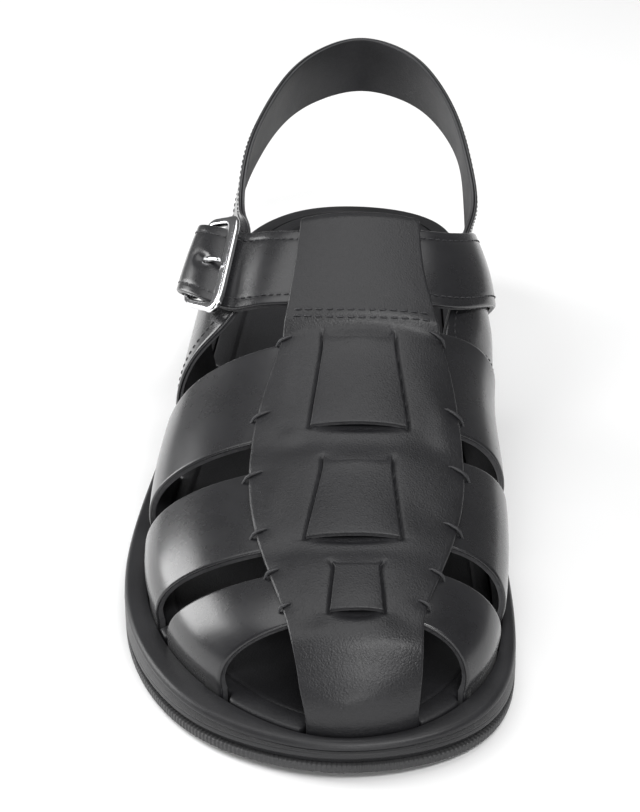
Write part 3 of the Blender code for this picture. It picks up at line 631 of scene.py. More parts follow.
def cut_edge_painted_highlight(name, dark, light, rough):
    """The cut edge of leather with fine fibres along it; its colour, lighter than the leather, is a painted
    highlight where the edge catches light.
    """
    finish = Finish(name, rough, 0.1, 0.4)
    fibres = finish.noise(700.0, 4.0, 0.7)
    clouds = finish.noise(90.0, 3.0)
    finish.feed("Base Color", finish.colours((fibres * 0.6 + clouds * 0.4).clamp(0.3, 0.7), dark, light))
    finish.feed("Roughness", fibres * 0.2 + (rough - 0.1))
    finish.feed("Normal", finish.bump(fibres, 0.00012))
    return finish.material


def sole_rubber(name, dark, light, rough, ribs):
    """Moulded rubber: fine satin skin; ribs are cut across the edge from the distance round the sole."""
    finish = Finish(name, rough, 0.04, 0.4, specular=0.3)
    skin = finish.noise(2600.0, 2.0)
    clouds = finish.noise(46.0, 4.0)
    finish.feed("Base Color", finish.colours((clouds * 0.7 + skin * 0.3).clamp(0.35, 0.7), dark, light))
    finish.feed("Roughness", clouds * 0.14 + skin * 0.08 + (rough - 0.1))
    normal = finish.bump(skin, 0.00006)
    uv = finish.tree.nodes.new("ShaderNodeUVMap")
    uv.uv_map = "sole_uv"
    split = finish.node("ShaderNodeSeparateXYZ", "X", {"Vector": Wire(finish.tree, uv.outputs[0])})
    up = Wire(finish.tree, split.socket.node.outputs["Y"])
    if ribs:
        wave = (split * (2 * np.pi / RIB_PITCH)).math("SINE")
        side = up.clamp(0.15, 0.4)
        normal = finish.bump((wave * 0.5 + 0.5) * side, 0.00020, under=normal)
        along = finish.node("ShaderNodeSeparateXYZ", "Y", {"Vector": finish.place})
        across = Wire(finish.tree, along.socket.node.outputs["X"])
        tread = ((along * 1400.0).math("SINE") * 0.5 + 0.5) * ((across * 1400.0).math("SINE") * 0.5 + 0.5)
        normal = finish.bump(tread * (1.0 - side), 0.0006, under=normal)
    else:
        facing = finish.node("ShaderNodeTexCoord", "Normal")
        facing = finish.node("ShaderNodeSeparateXYZ", "Z", {"Vector": facing})
        lines = ((up * (2 * np.pi / 1.5)).math("SINE") * 0.5 + 0.5).math("POWER", 6.0)
        normal = finish.bump(lines * (1.0 - facing.clamp(0.3, 0.6)), 0.00014, under=normal)
    finish.feed("Normal", normal)
    return finish.material


def thread_finish():
    """Waxed thread: a fine twist over near-black fibres."""
    finish = Finish("thread_finish", 0.5, 0.0)
    twist = finish.noise(2400.0, 3.0, 0.7)
    tone = finish.colours(twist.clamp(0.3, 0.7), (0.008, 0.008, 0.009), (0.034, 0.034, 0.038))
    finish.feed("Base Color", tone)
    finish.feed("Roughness", twist * 0.2 + 0.36)
    finish.feed("Normal", finish.bump(twist, 0.00018))
    return finish.material


def metal_finish():
    """Polished nickel with a faint haze and hair scratches."""
    finish = Finish("buckle_metal", 0.14, metal=1.0)
    haze = finish.noise(120.0, 4.0, 0.6)
    hair = finish.noise(2600.0, 2.0)
    finish.feed("Base Color", finish.colours(haze.clamp(0.3, 0.7), (0.70, 0.70, 0.72), (0.86, 0.86, 0.87)))
    finish.feed("Roughness", haze * 0.12 + hair * 0.06 + 0.05)
    finish.feed("Normal", finish.bump(hair, 0.00002))
    return finish.material


STRIP_LEATHER = leather("strip_leather", (0.009, 0.009, 0.010), (0.018, 0.018, 0.020), 0.42,
                        0.000085, 0.000050, 0.10)
STRAP_LEATHER = leather("strap_leather", (0.006, 0.006, 0.007), (0.012, 0.012, 0.014), 0.28,
                        0.000014, 0.000012, 0.55, 0.09)
LINING = leather("lining_leather", (0.016, 0.016, 0.018), (0.030, 0.030, 0.032), 0.56, 0.00006, 0.00006, 0.0)
INSOLE = leather("insole_leather", (0.009, 0.009, 0.010), (0.018, 0.018, 0.020), 0.50, 0.00006, 0.00006, 0.05)
# The cut edges' colour is lighter than the leather's: a painted highlight where the edges catch light.
CUT_EDGE_PAINTED_HIGHLIGHT = cut_edge_painted_highlight("cut_edge_painted_highlight", (0.030, 0.030, 0.032), (0.070, 0.070, 0.073), 0.42)
SOLE_SIDE = sole_rubber("sole_side", (0.014, 0.014, 0.015), (0.026, 0.026, 0.028), 0.38, False)
SOLE_TREAD = sole_rubber("sole_tread", (0.034, 0.034, 0.035), (0.056, 0.056, 0.058), 0.44, True)
THREAD = thread_finish()
METAL = metal_finish()


# Sole


def carried_profile(name, rings, finish, replaces, slot, cap):
    """A profile carried round the outline, closed by ladders across its first and last ring."""
    steps = ROUND_STEPS
    angle = np.arange(steps) * 2 * np.pi / steps
    base = outline(angle, 0 * angle)
    arc = np.concatenate([[0], np.cumsum(np.linalg.norm(np.diff(base, axis=0), axis=-1))])
    total = arc[-1] + np.linalg.norm(base[0] - base[-1])
    around = round(total / RIB_PITCH) * RIB_PITCH
    arc = arc * around / total
    points, faces, uv = [], [], []
    index = np.arange(steps)
    after = np.roll(index, -1)
    run = 0.0
    last = None
    for k, (inset, height) in enumerate(rings):
        flat = outline(angle, inset + 0 * angle)
        points.append(np.concatenate([flat, (height + 0 * angle)[:, None]], 1))
        level = np.mean(height + 0 * angle)
        if last is not None:
            run += np.hypot(np.mean(inset + 0 * angle) - last[0], level - last[1])
        last = (np.mean(inset + 0 * angle), level)
        uv.append(np.stack([arc, 0 * arc + run], 1))
        if k:
            low = (k - 1) * steps
            faces.append(np.stack([low + index, low + after, low + steps + after, low + steps + index], 1))
    points = np.concatenate(points)
    uv = np.concatenate(uv)
    half = np.arange(1, steps // 2)
    for ring_number, count, rise in ((0, 0, None), (len(rings) - 1, cap[0], cap[1])):
        start = ring_number * steps
        left = points[start + half]
        right = points[start + steps - half]
        share = (np.arange(count) + 1.0) / (count + 1)
        middle = left[:, None] + (right - left)[:, None] * share[None, :, None]
        if count:
            middle[..., 2] += rise(half / (steps / 2.0), share)
        inside = len(points) + np.arange(len(half) * count).reshape(len(half), count)
        points = np.concatenate([points, middle.reshape(-1, 3)])
        uv = np.concatenate([uv, np.full((len(half) * count, 2), uv[start, 1])])
        rows = np.concatenate([(start + half)[:, None], inside, (start + steps - half)[:, None]], 1)
        quads = np.stack([rows[:-1, :-1], rows[1:, :-1], rows[1:, 1:], rows[:-1, 1:]], -1).reshape(-1, 4)
        faces.append(quads if ring_number else quads[:, ::-1])
    faces = np.concatenate(faces)
    add_piece(name, points, faces, [finish], replaces, slot, uv=(uv, around))


def quarter_ring(inset, height, radius, turn_in, turn_up, count=5):
    """Rings of a rounded corner, from its side to its top: a quarter circle in inset and height."""
    a = np.linspace(0, np.pi / 2, count)
    return [(inset + turn_in * radius * (1 - np.cos(v)), height + turn_up * radius * np.sin(v)) for v in a]


def make_soles():
    """Outsole with its ribbed edge, and midsole with its groove, faint lines, rounded top and ledge."""
    angle = np.arange(ROUND_STEPS) * 2 * np.pi / ROUND_STEPS
    ground = ground_height(station_of(angle))
    top = ledge_height(angle)
    ledge = ledge_width(angle)
    lip = ground + OUTSOLE_THICK
    rings = [(30.0, ground), (4.0, ground), (0.9, ground), (0.45, ground + 0.08), (0.12, ground + 0.35)]
    rings += [(0.0, ground + 0.7), (0.0, lip - 0.5), (0.12, lip - 0.2), (0.4, lip), (2.5, lip), (8.0, lip)]
    carried_profile("outsole_look", rings, SOLE_TREAD, ("outsole",), "outsole_finish", (0, None))
    base = lip + GAP
    floor = top - SLOT_DEPTH
    groove = ground + 4.2
    rings = [(8.0, base), (1.25, base), (1.2, base + 0.3), (1.2, groove - 0.4), (0.9, groove - 0.1)]
    rings += quarter_ring(0.9, groove, 0.9, -1.0, 0.9)
    rings += [(0.02, groove + 1.6), (0.05, groove + 2.4), (0.1, groove + 0.62 * (top - groove))]
    rings += [(0.18, top - 2.0)]
    corner = np.linspace(0, np.pi / 2, 8)
    rings += [(0.2 + 1.7 * (1 - np.cos(v)), top - 1.7 + 1.7 * np.sin(v)) for v in corner]
    rings += [(ledge * 0.6, top + 0.12), (ledge - 0.5, top + 0.02), (ledge - 0.1, top - 0.12)]
    rings += [(ledge, top - 0.5)]
    rings += [(ledge + 0.05, floor), (ledge + SLOT_WIDTH + 2.0, floor)]
    carried_profile("midsole_look", rings, SOLE_SIDE, ("midsole",), "midsole_finish",
                    (1, lambda along, share: 0.0 * along[:, None] * share[None, :]))


def strap_windows(angle):
    """1 where a strap enters the slot round the footbed and 0 where the footbed reaches the ledge."""
    stations = station_of(angle)
    outer = np.sin(angle) > 0
    open_to = np.zeros(angle.shape)

    def window(low, high, where):
        """A soft window: it opens over 1.2 mm before the strap's edge and closes 1.2 mm after the other."""
        value = step((stations - low + 2.0) / 1.2) * step((high + 2.0 - stations) / 1.2)
        return np.where(where, value, 0.0)
    for rows in CROSS_STRAPS.values():
        open_to = np.maximum(open_to, window(rows[0][1], rows[0][2], outer))
        open_to = np.maximum(open_to, window(rows[-1][1], rows[-1][2], ~outer))
    open_to = np.maximum(open_to, window(OUTER_QUARTER[0][0], OUTER_QUARTER[0][2], outer))
    open_to = np.maximum(open_to, window(INNER_QUARTER[0][0], INNER_QUARTER[0][2], ~outer))
    across = outline(angle, 0 * angle)[:, 0]
    toe = step((across - STRIP_ROWS[0][1] + 3.5) / 1.5) * step((STRIP_ROWS[0][2] + 3.5 - across) / 1.5)
    return np.maximum(open_to, np.where(stations < 20, toe, 0.0))


def make_footbed():
    """The footbed: a rounded rim band, a crease inside it, and a dish shaped by the foot."""
    angle = np.arange(ROUND_STEPS) * 2 * np.pi / ROUND_STEPS
    top = ledge_height(angle)
    ledge = ledge_width(angle)
    edge = ledge + FREE_SLOT + (SLOT_WIDTH + 0.1 - FREE_SLOT) * strap_windows(angle)
    rim = ledge + SLOT_WIDTH + FOOTBED_RIM
    floor = top - SLOT_DEPTH + GAP

    def dish(along, share):
        """A hollow: a sine across the foot raised to a power, deeper under the heel and the ball."""
        deep = FOOTBED_DISH * (0.75 + 0.35 * np.sin(np.pi * along) ** 2)
        return -deep[:, None] * (np.sin(np.pi * share) ** 0.7)[None, :]
    rings = [(rim, floor), (edge, floor), (edge, top - 0.6), (edge + 0.12, top - 0.1)]
    rings += [(edge + 0.45, top + 0.2)]
    rings += [(edge + 1.0, top + 0.36), ((edge + rim) / 2, top + 0.5), (rim - 1.3, top + 0.46)]
    rings += [(rim - 0.7, top + 0.2), (rim - 0.3, top - 0.35), (rim, top - 0.55), (rim + 0.4, top - 0.4)]
    rings += [(rim + 1.2, top - 0.3)]
    carried_profile("footbed_look", rings, INSOLE, ("footbed",), "footbed_finish", (41, dish))


# Straps


def foot_offset(station, turn, thick):
    """The outer face beside the foot of a strap, moved level and outwards, so that the end stands upright."""
    angle = angle_of(station)
    normal = last_normals(angle, turn)
    normal[..., 2] = 0
    return last_points(angle, turn) + unit(normal) * np.asarray(thick)[..., None]


def tucked(points, ends=(True, True)):
    """A grid with rows added where a strap goes down into the slot, straight below its first and last row."""
    drops = np.array([0.0, 0.0, 1.0])
    parts = [points]
    if ends[0]:
        parts.insert(0, points[:1] - drops * (FOOT_LIFT + TUCK))
    if ends[1]:
        parts.append(points[-1:] - drops * (FOOT_LIFT + TUCK))
    return np.concatenate(parts)


def cross_strap(name, rows, seed, along=150):
    """A cross strap from slot to slot over the last: crowned a little, with rounded cut edges."""
    table = np.array(rows)
    turns = np.sin(np.linspace(-1, 1, along) * np.pi / 2) * 0.35 + np.linspace(-1, 1, along) * 0.65
    front = smooth(table[:, 0], table[:, 1], turns)
    back = smooth(table[:, 0], table[:, 2], turns)
    width = np.median(back - front)
    share = edge_spread(width, 22)
    station = front[:, None] + (back - front)[:, None] * share
    turn = turns[:, None] + 0 * station
    crown = 0.35 * np.sin(np.pi * share)[None, :] + 0.16 * waves(station, turn * 60, seed)
    drop = round_over(share, width)[None, :]
    fade = step((1 - np.abs(turn)) / 0.12)
    under = 0.12 + drop * 0.35 + 0 * station
    inner = on_last(station, turn, under * fade)
    outer = on_last(station, turn, STRAP_THICK - drop + crown * fade)
    for end in (0, -1):
        outer[end] = foot_offset(station[end], turn[end], STRAP_THICK - drop[0])
        inner[end] = foot_offset(station[end], turn[end], 0 * station[end])
    slab_piece(name, tucked(inner), tucked(outer), [STRAP_LEATHER, CUT_EDGE_PAINTED_HIGHLIGHT, LINING], ("upper",),
               "upper_finish")


def strip_relief(station, across_x):
    """The strip's relief: a sag over each gap between straps, dents, and pinched edges at the stitches."""
    relief = 0.14 * waves(station, across_x, 5)
    for middle, half in GAP_SAGS:
        relief = relief - GAP_SAG * np.exp(-((station - middle) / half) ** 2)
    for at, x, along, wide, depth in DENTS:
        relief = relief + depth * np.exp(-((station - at) / along) ** 2 - ((across_x - x) / wide) ** 2)
    left, right = strip_edges(station)
    for at, side in EDGE_STITCHES:
        edge = left if side < 0 else right
        relief = relief - 0.5 * np.exp(-((station - at) / 2.2) ** 2 - ((across_x - edge) / 3.2) ** 2)
    return relief


def tab_edges(row, ratio):
    """Both slits of a tab at a share of its length from the front: straight lines that flare at the back."""
    front, back, left_back, right_back, left_front, right_front = row
    flare = TAB_FLARE / (back - front) * np.clip((ratio - 0.78) / 0.22, 0, 1) ** 2
    left = left_front + (left_back - left_front) * ratio - flare
    return left, right_front + (right_back - right_front) * ratio + flare


def strip_slits(station, across_x):
    """Narrow troughs along the slits, and the hollow under each tab, a lens at its front edge."""
    relief = 0 * station
    for row in TABS.values():
        front, back = row[:2]
        ratio = (station - front) / (back - front)
        low, high = tab_edges(row, ratio)
        beside = step((station - front + 1.2) / 1.0) * step((back + 1.0 - station) / 3.0)
        for line in (low, high):
            relief = relief - SLIT_DEPTH * beside * np.exp(-((across_x - line) / SLIT_HALF) ** 2)
            relief = relief - 0.18 * beside * np.exp(-((across_x - line) / 2.4) ** 2)
        under = np.sin(np.pi * np.clip((across_x - low) / (high - low), 0, 1)) ** 0.8
        edge = front - LENS_REACH * under
        fall = np.where(station < edge, np.exp(-((station - edge) / LENS_FADE) ** 2), 1.0)
        relief = relief - LENS_DEPTH * under * fall * step((0.75 - ratio) / 0.3)
    return relief


def strip_edges(station):
    """The strip's outer and inner edge, across from the sole's axis."""
    return smooth(STRIP[:, 0], STRIP[:, 1], station), smooth(STRIP[:, 0], STRIP[:, 2], station)


def strip_start(share):
    """The angle at the toe's slot where each line of the strip begins."""
    left, right = strip_edges(0.0)
    foot_x = left + (right - left) * share
    near_toe = np.linspace(0.0, 0.5, 200)
    outer_foot = last_points(near_toe, -1.0 + 0 * near_toe)[:, 0]
    inner_foot = last_points(near_toe, 1.0 + 0 * near_toe)[:, 0]
    return np.where(foot_x < outer_foot[0], np.interp(-foot_x, -outer_foot, near_toe),
                    np.interp(foot_x, inner_foot, near_toe))


def strip_height(station):
    """Height of the strip's inner face: over the cross straps, then a climb over the belt."""
    climb = step((station - LOOP_CLIMB) / LOOP_CLIMB_LENGTH)
    return STRIP_INNER + (LOOP_TOP - STRIP_INNER) * climb, STRIP_THICK + (LOOP_THICK - STRIP_THICK) * climb


def strip_point(station, share, height):
    """A point over the strip's outer face, from its station, its share across and a height."""
    left, right = strip_edges(station)
    x = left + (right - left) * share
    turn = turn_at(angle_of(station), x)
    low, thick = strip_height(station)
    return on_last(station, turn, low + thick + strip_relief(station, x) + height)


def toe_curve(grid, rows=26):
    """The strip's first rows, as a cubic that stands upright in the slot and joins the next row's slope."""
    first, last = grid[0], grid[rows]
    reach = np.linalg.norm(last - first, axis=-1, keepdims=True)
    leave = np.array([0.0, -0.12, 1.0]) * reach * 1.1
    arrive = unit(grid[rows + 2] - grid[rows - 1]) * reach * 1.1
    t = np.linspace(0, 1, rows + 1)[:, None, None]
    curve = (2 * t ** 3 - 3 * t ** 2 + 1) * first + (t ** 3 - 2 * t ** 2 + t) * leave
    curve = curve + (3 * t ** 2 - 2 * t ** 3) * last + (t ** 3 - t ** 2) * arrive
    return np.concatenate([curve, grid[rows + 1:]])


def make_strip():
    """The centre strip: from the toe's slot over the cross straps, then as a loop round the belt."""
    share = edge_spread(STRIP_WIDTH, 96)
    start = strip_start(share)
    end = angle_of(LOOP_TURN)
    rows = np.linspace(0, 1, 280) ** 0.95
    angle = start[None, :] + (end - start[None, :]) * rows[:, None]
    station = station_of(angle)
    left, right = strip_edges(station)
    x = left + (right - left) * share[None, :]
    toe_fade = step(station / 9.0)
    turn = turn_at(angle, x)
    foot_turn = np.where(x < last_points(np.zeros(1), -1.0 + np.zeros(1))[0, 0], -1.0, 1.0)
    blend_in = step((rows[:, None]) / 0.05)
    turn = np.where(rows[:, None] == 0, foot_turn, turn)
    low, thick = strip_height(station)
    drop = round_over(share, STRIP_WIDTH)[None, :]
    relief = (strip_relief(station, x) + strip_slits(station, x)) * toe_fade
    crown = 0.25 * np.sin(np.pi * share)[None, :] * toe_fade
    inner = on_last(station, turn, (low + 0.5 * drop) * blend_in)
    outer = on_last(station, turn, (low + thick) * blend_in + 2.2 * (1 - blend_in) - drop + relief + crown)
    outer[0] = foot_offset(station[0], turn[0], 2.2 - drop[0])
    inner[0] = foot_offset(station[0], turn[0], 0 * drop[0])
    inner = toe_curve(inner)
    outer = toe_curve(outer)
    middle = (LOOP_TOP + LOOP_THICK) / 2
    normal = last_normals(angle[-1], turn[-1])
    ahead = unit(last_points(angle[-1] + 0.01, turn[-1]) - last_points(angle[-1] - 0.01, turn[-1]))
    surface = last_points(angle[-1], turn[-1])
    bends = []
    for radius, change in ((middle - LOOP_THICK, 0.5 * drop), (middle, -drop)):
        a = np.linspace(0, np.pi, 22)[1:, None, None]
        reach = radius + change[..., None]
        bends.append(surface + normal * (middle + reach * np.cos(a)) + ahead * reach * np.sin(a))
    back = np.linspace(LOOP_TURN - 1.5, LOOP_END, 40)[:, None] + 0 * share[None, :]
    left, right = strip_edges(back)
    back_turn = turn_at(angle_of(back), left + (right - left) * share[None, :])
    under = on_last(back, back_turn, LOOP_THICK - 0.5 * drop + 0 * back)
    bottom = on_last(back, back_turn, drop + 0 * back)
    full_inner = np.concatenate([inner, bends[0], under])
    full_outer = np.concatenate([outer, bends[1], bottom])
    slab_piece("strip_look", tucked(full_inner, (True, False)), tucked(full_outer, (True, False)),
               [STRIP_LEATHER, CUT_EDGE_PAINTED_HIGHLIGHT, LINING], ("upper",), "upper_finish")


def make_tab(name, row, seed):
    """A raised tab: it rises out of two slits and arches over the strip, open at its front and back edge."""
    front, back = row[:2]
    share = edge_spread(TAB_WIDTH, 36)
    length = back - front
    along = edge_spread(length, 40)
    station = front + length * along[:, None] + 0 * share[None, :]
    left, right = tab_edges(row, along[:, None])
    x = left + (right - left) * share[None, :]
    turn = turn_at(angle_of(station), x)
    arch = np.clip(np.sin(np.pi * share), 0, 1)[None, :] ** 0.6
    rise = step((1 - along) / 0.16)[:, None] * (0.25 + 0.75 * step((1 - along) / 0.8)[:, None])
    drop = round_over(along, length, 0.4)[:, None] * (along < 0.5)[:, None]
    drop = drop + round_over(share, TAB_WIDTH, 0.5)[None, :]
    base = STRIP_INNER + STRIP_THICK
    lift = 0.20 + (0.55 + 0.15 * waves(station, x, seed)) * arch
    emerge = step((1 - along) / 0.14)[:, None]
    outer_height = base - 0.10 + 0.37 * emerge + lift * rise - drop + strip_relief(station, x)
    outer = on_last(station, turn, outer_height)
    inner = on_last(station, turn, outer_height + drop - TAB_THICK + 0.2 * drop)
    slab_piece(name, inner, outer, [STRIP_LEATHER, CUT_EDGE_PAINTED_HIGHLIGHT, LINING], ("upper",), "upper_finish")


def make_front():
    """The woven front: the strip, the straps under it and the tabs raised from it."""
    make_strip()
    for seed, (name, rows) in enumerate(CROSS_STRAPS.items()):
        cross_strap(name + "_cross_strap_look", rows, seed)
    for seed, (name, row) in enumerate(TABS.items()):
        make_tab(name + "_tab_look", row, seed + 20)


def panel_grid(rows, along, share):
    """Stations, turns and heights of a panel whose table gives its two edges, row by row."""
    table = np.array(rows)
    line = smooth(np.arange(len(table), dtype=float), table, np.linspace(0, len(table) - 1, along))
    station = line[:, :1] + (line[:, 2:3] - line[:, :1]) * share
    turn = line[:, 1:2] + (line[:, 3:4] - line[:, 1:2]) * share
    height = line[:, 4:5] + (line[:, 5:6] - line[:, 4:5]) * step((share - 0.08) / 0.35)
    return station, np.clip(turn, -1, 1), height


def back_band(share, side_rows=61, heel_rows=241):
    """The middle lines of the band round the heel: both quarters on the last, joined by the heel strap."""
    sides = []
    normals = []
    for rows in (OUTER_QUARTER, INNER_QUARTER):
        station, turn, height = panel_grid(rows, side_rows, share)
        sides.append(on_last(station, turn, height))
        normal = last_normals(angle_of(station), turn)
        level = normal[0].copy()
        level[:, 2] = 0
        normal[0] = unit(level)
        normals.append(normal)
    sling = np.array(SLING_ROWS)

    def sling_rows(side):
        top = sling[:, [1 + side, 0, 3]]
        bottom = sling[:, [5 + side, 4, 7]]
        return top[:, None] + (bottom - top)[:, None] * share[None, :, None]
    outer_sling = sling_rows(0)
    inner_sling = sling_rows(1)[-2::-1]
    pick = [int((side_rows - 1) * f) for f in (8 / 12, 10 / 12, 1)]
    keys = np.concatenate([sides[0][pick], outer_sling, inner_sling, sides[1][pick[::-1]]])
    middle = len(share) // 2
    length = np.concatenate([[0], np.cumsum(np.linalg.norm(np.diff(keys[:, middle], axis=0), axis=-1))])
    at = np.linspace(length[2], length[-3], heel_rows)[1:-1]
    heel = smooth(length, keys, at)
    along_way = smooth(length, keys, at + 0.5) - smooth(length, keys, at - 0.5)
    normal = unit(np.cross(np.gradient(heel, share, axis=1), along_way))
    if normal[len(at) // 2, middle, 1] < 0:
        normal = -normal
    points = np.concatenate([sides[0], heel, sides[1][::-1]])
    outward = np.concatenate([normals[0], normal, normals[1][::-1]])
    for _ in range(3):
        outward[1:-1] = unit(outward[:-2] + 2 * outward[1:-1] + outward[2:])
    return points, outward


def make_back_strap():
    """Two layers of leather sewn together: outer leather and lining, with a seam line between their edges."""
    share = edge_spread(SLING_WIDTH, 20)
    points, outward = back_band(share)
    drop = round_over(share, SLING_WIDTH, 0.5)[None, :, None]
    split = QUARTER_THICK * 0.48
    lining_inner = points + outward * (0.3 * drop)
    lining_outer = points + outward * (split - 0.4 * drop)
    leather_inner = points + outward * (split + 0.08 + 0.4 * drop)
    leather_outer = points + outward * (QUARTER_THICK - drop)
    for name, low, high, finish in (("back_strap_lining", lining_inner, lining_outer, LINING),
                                    ("back_strap_look", leather_inner, leather_outer, STRAP_LEATHER)):
        slab_piece(name, tucked(low), tucked(high), [finish, CUT_EDGE_PAINTED_HIGHLIGHT, LINING], ("back_strap",),
                   "back_strap_finish", 0.0)
    lines = []
    for at in BACK_SEAMS:
        line, normal = back_band(np.array([at, 0.5, 1 - at]) if at < 0.5 else np.array([1 - at, 0.5, at]))
        column = 0 if at < 0.5 else 2
        lines.append((line[4:-4, column], normal[4:-4, column]))
    for number, (line, normal) in enumerate(lines):
        path = line + normal * (QUARTER_THICK + 0.02)
        stitch_run("back_strap_stitches_%d" % number, path, normal, "back_strap", *BACK_STITCH)


def stitch_run(name, path, normals, node, pitch, radius, length):
    """Stitches along a path: each is a short rounded thread that dives at both ends."""
    run = np.concatenate([[0], np.cumsum(np.linalg.norm(np.diff(path, axis=0), axis=-1))])
    count = max(int(run[-1] / pitch), 1)
    at = (np.arange(count) + 0.5) * run[-1] / count

    def along(s, values):
        return np.stack([np.interp(s, run, values[:, i]) for i in range(3)], -1)
    rings, sides = 7, 8
    t = np.linspace(-1, 1, rings)
    centre = along(at[:, None] + t[None, :] * length / 2, path)
    up = unit(along(at[:, None] + 0 * t[None, :], normals))
    ahead = unit(along(at + 0.2, path) - along(at - 0.2, path))[:, None] + 0 * up
    side = unit(np.cross(ahead, up))
    thick = radius * np.sqrt(np.clip(1 - t ** 2, 0.01, 1))
    lift = radius * (0.55 - 1.5 * t ** 4)
    turns = np.arange(sides) * 2 * np.pi / sides
    cos, sin = np.cos(turns)[:, None], np.sin(turns)[:, None]
    offset = side[:, :, None] * cos + up[:, :, None] * sin
    points = centre[:, :, None] + up[:, :, None] * lift[:, None, None] + offset * thick[:, None, None]
    index = np.arange(count * rings * sides).reshape(count, rings, sides)
    low, high = index[:, :-1], index[:, 1:]
    faces = np.stack([low, np.roll(low, -1, 2), np.roll(high, -1, 2), high], -1).reshape(-1, 4)
    add_piece(name, points.reshape(-1, 3), faces, [THREAD], (node,), node + "_finish")


def belt_line(q):
    """The belt's table, joined smoothly from row to row."""
    return smooth(np.arange(len(BELT), dtype=float), BELT, q)


def belt_point(q, c, height):
    """A point over the belt: q counts its table's rows, and c runs from its front to its back edge."""
    q, c, height = np.broadcast_arrays(np.asarray(q, float), np.asarray(c, float), np.asarray(height, float))
    line = belt_line(q)
    station = line[..., 0] + (line[..., 2] - line[..., 0]) * c
    turn = line[..., 1] + (line[..., 3] - line[..., 1]) * c
    return on_last(station, turn, height)


def belt_cut(q, c):
    """The tail narrows to a rounded point: its half width falls as a circle does over the last part."""
    tip = np.clip((q - (len(BELT) - 1.7)) / 0.7, 0, 1)
    return 0.5 + (c - 0.5) * (1 - 0.75 * (1 - np.sqrt(np.clip(1 - tip ** 2, 0, 1))))


def make_belt():
    """The instep strap: sewn leather with stitched edges, a punched hole with a soft pull round the prong."""
    q = np.linspace(0, len(BELT) - 1.02, 330)
    share = edge_spread(BELT_WIDTH, 40)
    height = belt_line(q)[:, 4:5]
    cut = belt_cut(q[:, None], share[None, :])
    drop = round_over(share, BELT_WIDTH)[None, :]
    across = share[None, :] - 0.5
    hole = np.exp(-((q[:, None] - HOLE_AT) / 0.13) ** 2 - (across / 0.07) ** 2)
    crown = 0.30 * np.sin(np.pi * share)[None, :]
    crown = crown + 0.12 * waves(q[:, None] * 14, share[None, :] * BELT_WIDTH, 9)
    seams = sum(np.exp(-((share - at) / 0.022) ** 2) for at in BELT_SEAMS)
    top = height + BELT_THICK - drop + crown - 0.16 * seams[None, :] - 1.6 * hole
    inner = belt_point(q[:, None], cut, height + 0.3 * drop)
    outer = belt_point(q[:, None], cut, top)
    slab_piece("instep_strap_look", inner, outer, [STRAP_LEATHER, CUT_EDGE_PAINTED_HIGHLIGHT, LINING], ("instep_strap",),
               "instep_strap_finish")
    for number, c in enumerate(BELT_SEAMS):
        run = np.linspace(0.1, len(BELT) - 1.9, 400)
        level = belt_line(run)[:, 4] + BELT_THICK + 0.3 * np.sin(np.pi * c) - 0.12
        path = belt_point(run, c, level)
        normals = unit(belt_point(run, c, level + 1) - path)
        stitch_run("instep_strap_stitches_%d" % number, path, normals, "instep_strap", *BELT_STITCH)


def swept(path, up, widths, heights, sides=20, looped=False, square=0.7):
    """A bar along a path: a rounded rectangle of the given half width and half height at each point."""
    if looped:
        ahead = np.roll(path, -1, 0) - np.roll(path, 1, 0)
    else:
        ahead = np.gradient(path, axis=0)
    ahead = unit(ahead)
    side = unit(np.cross(ahead, up))
    rise = np.cross(side, ahead)
    a = np.arange(sides) * 2 * np.pi / sides + np.pi / sides
    cos = np.sign(np.cos(a)) * np.abs(np.cos(a)) ** square
    sin = np.sign(np.sin(a)) * np.abs(np.sin(a)) ** square
    return (path[:, None] + side[:, None] * (widths[:, None] * cos[None, :])[..., None]
            + rise[:, None] * (heights[:, None] * sin[None, :])[..., None])


def tube_faces(count, sides, looped):
    """Faces between the rings of a bar, and from the last to the first where it is looped."""
    index = np.arange(count * sides).reshape(count, sides)
    ahead = np.roll(index, -1, axis=0) if looped else index[1:]
    low = index if looped else index[:-1]
    return np.stack([low, np.roll(low, -1, 1), np.roll(ahead, -1, 1), ahead], -1).reshape(-1, 4)


